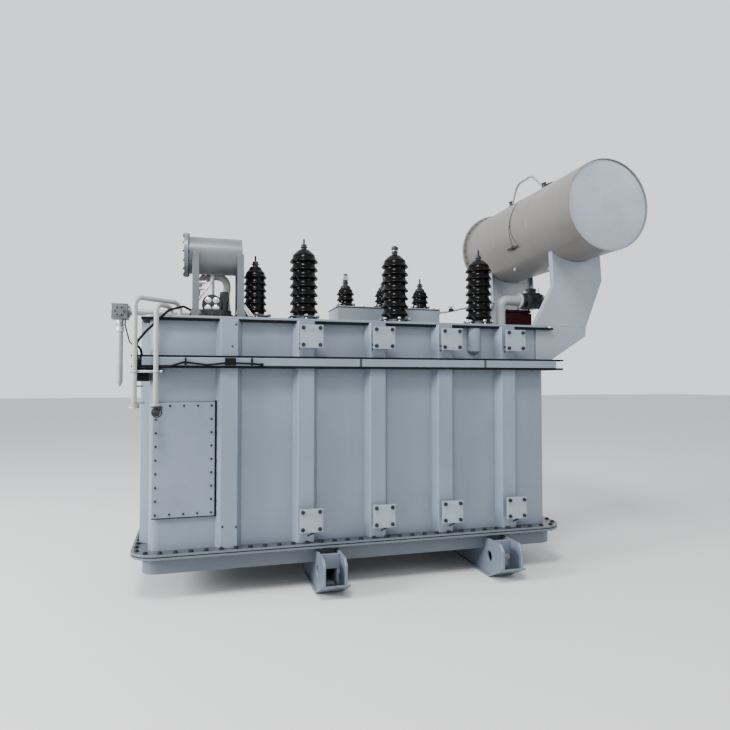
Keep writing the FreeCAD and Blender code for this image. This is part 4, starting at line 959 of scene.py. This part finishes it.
# %% Head, relief disc, pipes and struts
head_low, head_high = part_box("changer_head")
HEAD = Vector(((head_low.x + head_high.x) / 2, (head_low.y + head_high.y) / 2, COVER_TOP))
bolts("changer_rim_bolts", ring_spots(HEAD + Vector((0, 0, 0.020)), (0, 0, 1), 0.165, 16), M12, dark_bolt,
      seed=4)
disc = Build()
DISC = Vector((-1.192, -0.400, 2.196))
disc.drum(DISC + Vector((0, 0.03, 0)), (0, -1, 0), 0.078, 0.036, 48, 0.006)
disc.drum(DISC + Vector((0, -0.006, 0)), (0, -1, 0), 0.016, 0.014, 20, 0.002)
disc.drum(Vector((DISC.x, HEAD.y, DISC.z)), (0, -1, 0), 0.040, 0.060, 28)
disc.drum(HEAD + Vector((0.02, 0.02, 0.07)), (0, 0, 1), 0.050, 0.110, 28, 0.004)
disc.drum(HEAD + Vector((0.090, -0.030, 0.07)), (0, 0, 1), 0.034, 0.150, 24, 0.004)
disc.block(HEAD + Vector((0.055, -0.060, 0.14)), HEAD + Vector((0.125, 0.0, 0.20)))
disc.piece("relief_disc", dark_cast, "changer_dark", bevel=0.001)
lobes = Build()
for i in range(4):
    angle = math.pi / 4 + i * math.pi / 2
    at = DISC + Vector((0.042 * math.cos(angle), -0.005, 0.042 * math.sin(angle)))
    lobes.turned([(0, 0), (0.025, 0), (0.025, 0.004), (0.014, 0.011), (0, 0.012)], at, (0, -1, 0), 24)
lobes.drum(HEAD + Vector((-0.098, -0.075, 0.235)), (1, 0, 0), 0.013, 0.060, 16, 0.002)
lobes.drum(HEAD + Vector((-0.098, -0.075, 0.285)), (1, 0, 0), 0.013, 0.050, 16, 0.002)
lobes.piece("relief_lobes", light_metal, "fitting_metal")
suction = Build()
suction.bar([HEAD + Vector((-0.05, 0.10, 0.34)), HEAD + Vector((0.03, 0.12, 0.38)), HEAD + Vector((0.13, 0.12, 0.33)),
             HEAD + Vector((0.10, 0.12, 0.16)), HEAD + Vector((0.14, 0.12, 0.0))], 0.030, 20)
suction.bar([HEAD + Vector((-0.13, 0.06, 0.0)), HEAD + Vector((-0.13, 0.06, 0.30)), HEAD + Vector((-0.06, 0.10, 0.36))],
            0.024, 20)
suction.piece("suction_pipes", pipe_paint, "pipe_grey")
thin_pipes = Build()
thin_pipes.bar([HEAD + Vector((-0.13, -0.09, 0.10)), HEAD + Vector((-0.10, -0.10, 0.16)),
                HEAD + Vector((-0.02, -0.10, 0.26)), HEAD + Vector((0.0, -0.04, 0.33))], 0.009)
for i in range(3):
    start = Vector((-0.985 + 0.020 * i, -0.440, COVER_TOP + 0.150 - 0.018 * i))
    thin_pipes.bar([start, start + Vector((0.090, 0.0, -0.150 + 0.018 * i))], 0.0055, 8, smooth=False)
thin_pipes.piece("thin_pipes", light_metal, "fitting_metal")
dark_pipes = Build()
for i in range(3):
    start = Vector((-0.998 + 0.021 * i, -0.425, COVER_TOP + 0.165 - 0.018 * i))
    dark_pipes.bar([start, start + Vector((0.095, 0.0, -0.160 + 0.018 * i))], 0.008, 8, smooth=False)
dark_pipes.block((-1.010, -0.470, COVER_TOP), (-0.870, -0.390, COVER_TOP + 0.022))
dark_pipes.piece("dark_conduits", dark_cast, "changer_dark")

# %% Pot flange bolts and leg gussets
pot_low, pot_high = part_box("pot_end_flange")
POT_Y = (pot_low.y + pot_high.y) / 2
POT_Z = (pot_low.z + pot_high.z) / 2
pot_spots = ring_spots((pot_low.x, POT_Y, POT_Z), (-1, 0, 0), 0.158, 14)
pot_spots += ring_spots((pot_high.x, POT_Y, POT_Z), (1, 0, 0), 0.158, 14)
bolts("pot_bolts", pot_spots, M8, dark_bolt, seed=6)
leg_low, leg_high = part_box("pot_legs")
LEG = 0.050
shoes = Build()
for x in (leg_low.x, leg_high.x - LEG):
    for y, out in ((leg_low.y, -1), (leg_high.y, 1)):
        near = y + out * 0.004
        sole = sorted((y, y + out * 0.055))
        shoes.block((x - 0.030, sole[0], COVER_TOP), (x + LEG + 0.030, sole[1], COVER_TOP + 0.010))
        shoes.prism([(x - 0.026, COVER_TOP), (x + LEG + 0.026, COVER_TOP),
                     (x + LEG, COVER_TOP + 0.075), (x, COVER_TOP + 0.075)],
                    min(near, near - out * 0.004), max(near, near - out * 0.004) + 0.0005, "y")
shoes.piece("leg_shoes", pot_paint, "pot_grey", bevel=0.0015)
shoe_spots = [((x, leg_low.y - 0.032, COVER_TOP + 0.010), (0, 0, 1)) for x in
              (leg_low.x - 0.012, leg_low.x + 0.062, leg_high.x - 0.062, leg_high.x + 0.012)]
bolts("shoe_bolts", shoe_spots, M12, dark_bolt, seed=8)

# %% [markdown]
# ## Drive, oil pipes and boxes at the left end
# The motor turns the switch through a bevel gear: a small cast box with a lid, a flange to the shaft and a
# universal joint above the drop shaft. The junction box has a lid and glands, and the drain valve a handwheel.
# All three are plain blocks in the CAD and are swapped for the real shapes.

# %% Bevel gear box and its joint
gear_low, gear_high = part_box("bevel_gear_box")
GEAR = (gear_low + gear_high) / 2
half = (gear_high - gear_low) / 2
gear = Build()
gear.block(gear_low, gear_high - Vector((0, 0, 0.010)))
gear.block((gear_low.x, gear_low.y, gear_high.z - 0.012), gear_high)
gear.piece("gear_casting", pot_paint, "pot_grey", bevel=0.009, stands_for=["bevel_gear_box"])
gear_trim = Build()
gear_trim.drum((gear_high.x - 0.002, GEAR.y, GEAR.z), (1, 0, 0), 0.044, 0.014, 32, 0.002)
gear_trim.drum((GEAR.x, gear_low.y + 0.002, GEAR.z), (0, -1, 0), 0.040, 0.008, 32, 0.002)
gear_trim.piece("gear_flanges", pot_paint, "pot_grey")
gear_spots = ring_spots((GEAR.x, gear_low.y - 0.006, GEAR.z), (0, -1, 0), 0.031, 6)
bolts("gear_bolts", gear_spots, {**M8, "Head Radius": 0.005, "Washer Radius": 0.0055}, dark_bolt)
joint_piece = Build()
low = gear_low.z
joint_piece.turned([(0, 0), (0.026, 0), (0.026, -0.026), (0.017, -0.030), (0.017, -0.052), (0.028, -0.056),
                    (0.028, -0.090), (0.023, -0.094), (0, -0.094)][::-1], (GEAR.x, GEAR.y, low), (0, 0, 1), 28)
for way in ((1, 0, 0), (0, 1, 0)):
    joint_piece.drum(Vector((GEAR.x, GEAR.y, low - 0.040)) - Vector(way) * 0.030, way, 0.008, 0.060, 14, 0.001)
joint_piece.piece("universal_joint", light_metal, "fitting_metal")

# %% Junction box and glands
box_low, box_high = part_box("junction_box")
shell = Build()
shell.block(box_low, box_high)
shell.piece("junction_shell", box_plastic, "box_black", bevel=0.008, stands_for=["junction_box"])
glands = Build()
for x, radius in ((-1.6925, 0.016), (-1.7225, 0.011)):
    glands.turned([(0, 0), (radius, 0), (radius, 0.014), (radius * 0.8, 0.018), (radius * 0.8, 0.030), (0, 0.030)],
                  (x, -0.538, box_high.z - 0.001), sides=6)
glands.block((box_low.x - 0.004, box_low.y + 0.012, box_low.z + 0.030),
             (box_low.x, box_high.y - 0.012, box_high.z - 0.020))
glands.block((box_low.x + 0.012, box_low.y - 0.004, box_low.z + 0.014),
             (box_high.x - 0.012, box_low.y, box_high.z - 0.014))
glands.piece("junction_glands", black_rubber_and_shade, "cable_black", bevel=0.001)

# %% Drain valve, pipe flanges, U-bolts
valve_low, valve_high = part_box("drain_valve")
VALVE = (valve_low + valve_high) / 2
body = Build()
body.drum((VALVE.x, VALVE.y, valve_high.z), (0, 0, -1), 0.032, 0.012, 28, 0.002)
body.turned([(0, 0), (0.022, 0), (0.030, 0.016), (0.030, 0.038), (0.020, 0.054), (0, 0.054)],
            (VALVE.x, VALVE.y, valve_low.z), sides=28)
body.drum((VALVE.x, VALVE.y, VALVE.z - 0.008), (0.25, -1, 0), 0.013, 0.044, 20, 0.001)
body.drum((VALVE.x + 0.010, VALVE.y, VALVE.z + 0.018), (1, -0.2, 0), 0.016, 0.034, 20, 0.002)
body.block(VALVE + Vector((0.020, -0.030, 0.004)), VALVE + Vector((0.042, 0.010, 0.030)))
wheel_at = Vector((VALVE.x + 0.012, VALVE.y - 0.046, VALVE.z - 0.008))
body.turned([(0.030, -0.004), (0.036, -0.004), (0.038, 0), (0.036, 0.004), (0.030, 0.004), (0.028, 0)],
            wheel_at, (0.25, -1, 0), 32, ring=True)
for i in range(3):
    body.bar([wheel_at - Matrix.Rotation(i * 1.047, 3, "Y") @ Vector((0.031, 0, 0)),
              wheel_at + Matrix.Rotation(i * 1.047, 3, "Y") @ Vector((0.031, 0, 0))], 0.004, 8, smooth=False)
body.piece("drain_valve_body", dark_cast, "changer_dark", stands_for=["drain_valve"])
PIPE_A = Vector((-1.7225, -0.722, 0))
PIPE_B = Vector((-1.5805, -0.722, 0))
clamps = Build()
for pipe in (PIPE_A, PIPE_B):
    level = belt_low.z - 0.044
    arc = [Vector((pipe.x + 0.022 * math.cos(a), pipe.y - 0.022 * math.sin(a), level)) for a in
           (math.pi * i / 8 for i in range(9))]
    clamps.bar([arc[0] + Vector((0, 0.030, 0))] + arc + [arc[-1] + Vector((0, 0.030, 0))], 0.0045, 10, smooth=False)
clamps.drum((PIPE_A.x - 0.040, PIPE_A.y + 0.026, belt_low.z - 0.044), (1, 0, 0), 0.010, 0.225, 16, 0.002)
clamps.drum((PIPE_A.x, PIPE_A.y, valve_high.z - 0.012), (0, 0, 1), 0.034, 0.012, 28, 0.002)
for aside, back, level in ((0.045, 0.10, 1.560), (0.060, 0.12, 1.440)):
    clamps.bar([(PIPE_A.x + aside, PIPE_A.y + back, level), (PIPE_A.x + 0.005, PIPE_A.y + 0.012, level)],
               0.006, 10, smooth=False)
clamps.piece("pipe_clamps", zinc, "fitting_metal")

# %% [markdown]
# ## Floor, light and camera
# A transformer this size is shown on a plain pale floor. One large soft lamp on the left models the folds of
# the stiffeners, one overhead lights the cover and the tops of the folds, a weak one on the right lights the
# conservator's end, and a bright even sky keeps the shadows open.
# The camera stands at eye height, a little left of the tank's middle, and looks slightly up.

# %% Stage
floor_mesh = bpy.data.meshes.new("floor")
FLOOR = 60.0
CORNERS = ((-1, -1), (1, -1), (1, 1), (-1, 1))
floor_mesh.from_pydata([(FLOOR * x, FLOOR * y, 0) for x, y in CORNERS], [], [(0, 1, 2, 3)])
floor = bpy.data.objects.new("floor", floor_mesh)
bpy.context.scene.collection.objects.link(floor)
material, tree, shader, add = new_material("pale_floor")
shader.inputs["Base Color"].default_value = (0.52, 0.52, 0.52, 1)
shader.inputs["Roughness"].default_value = 0.85
floor_mesh.materials.append(material)

world = bpy.data.worlds.new("sky")
bpy.context.scene.world = world
world.use_nodes = True
world.node_tree.nodes["Background"].inputs["Color"].default_value = (0.93, 0.96, 1.0, 1)
world.node_tree.nodes["Background"].inputs["Strength"].default_value = 1.35


def soft_lamp(name, spot, target, size, watts, colour=(1, 1, 1)):
    data = bpy.data.lights.new(name, "AREA")
    data.shape = "DISK"
    data.size = size
    data.energy = watts
    data.color = colour
    lamp = bpy.data.objects.new(name, data)
    bpy.context.scene.collection.objects.link(lamp)
    lamp.location = spot
    lamp.rotation_euler = (Vector(target) - Vector(spot)).to_track_quat("-Z", "Y").to_euler()
    return lamp


soft_lamp("key", (-10.2, -2.4, 4.6), (0, 0, 1.6), 4.0, 2300, (0.96, 0.98, 1.0))
soft_lamp("overhead", (-2.5, -5.5, 9.5), (0.3, 0, 1.6), 2.6, 1100, (1.0, 0.99, 0.97))
soft_lamp("right_fill", (11.7, -13.4, 9.0), (1.6, -0.6, 2.9), 5.0, 450, (1.0, 0.99, 0.98))

EYE = Vector((-1.295, -5.175, 1.590))
HEADING = math.radians(-15.7)
PITCH_UP = math.radians(1.64)
camera_data = bpy.data.cameras.new("camera")
camera_data.lens = 29.34
camera_data.sensor_width = 36.0
camera_data.clip_end = 300.0
camera = bpy.data.objects.new("camera", camera_data)
bpy.context.scene.collection.objects.link(camera)
camera.location = EYE
camera.rotation_euler = (math.radians(90) + PITCH_UP, 0, HEADING)
bpy.context.scene.camera = camera
print("camera at", tuple(EYE))
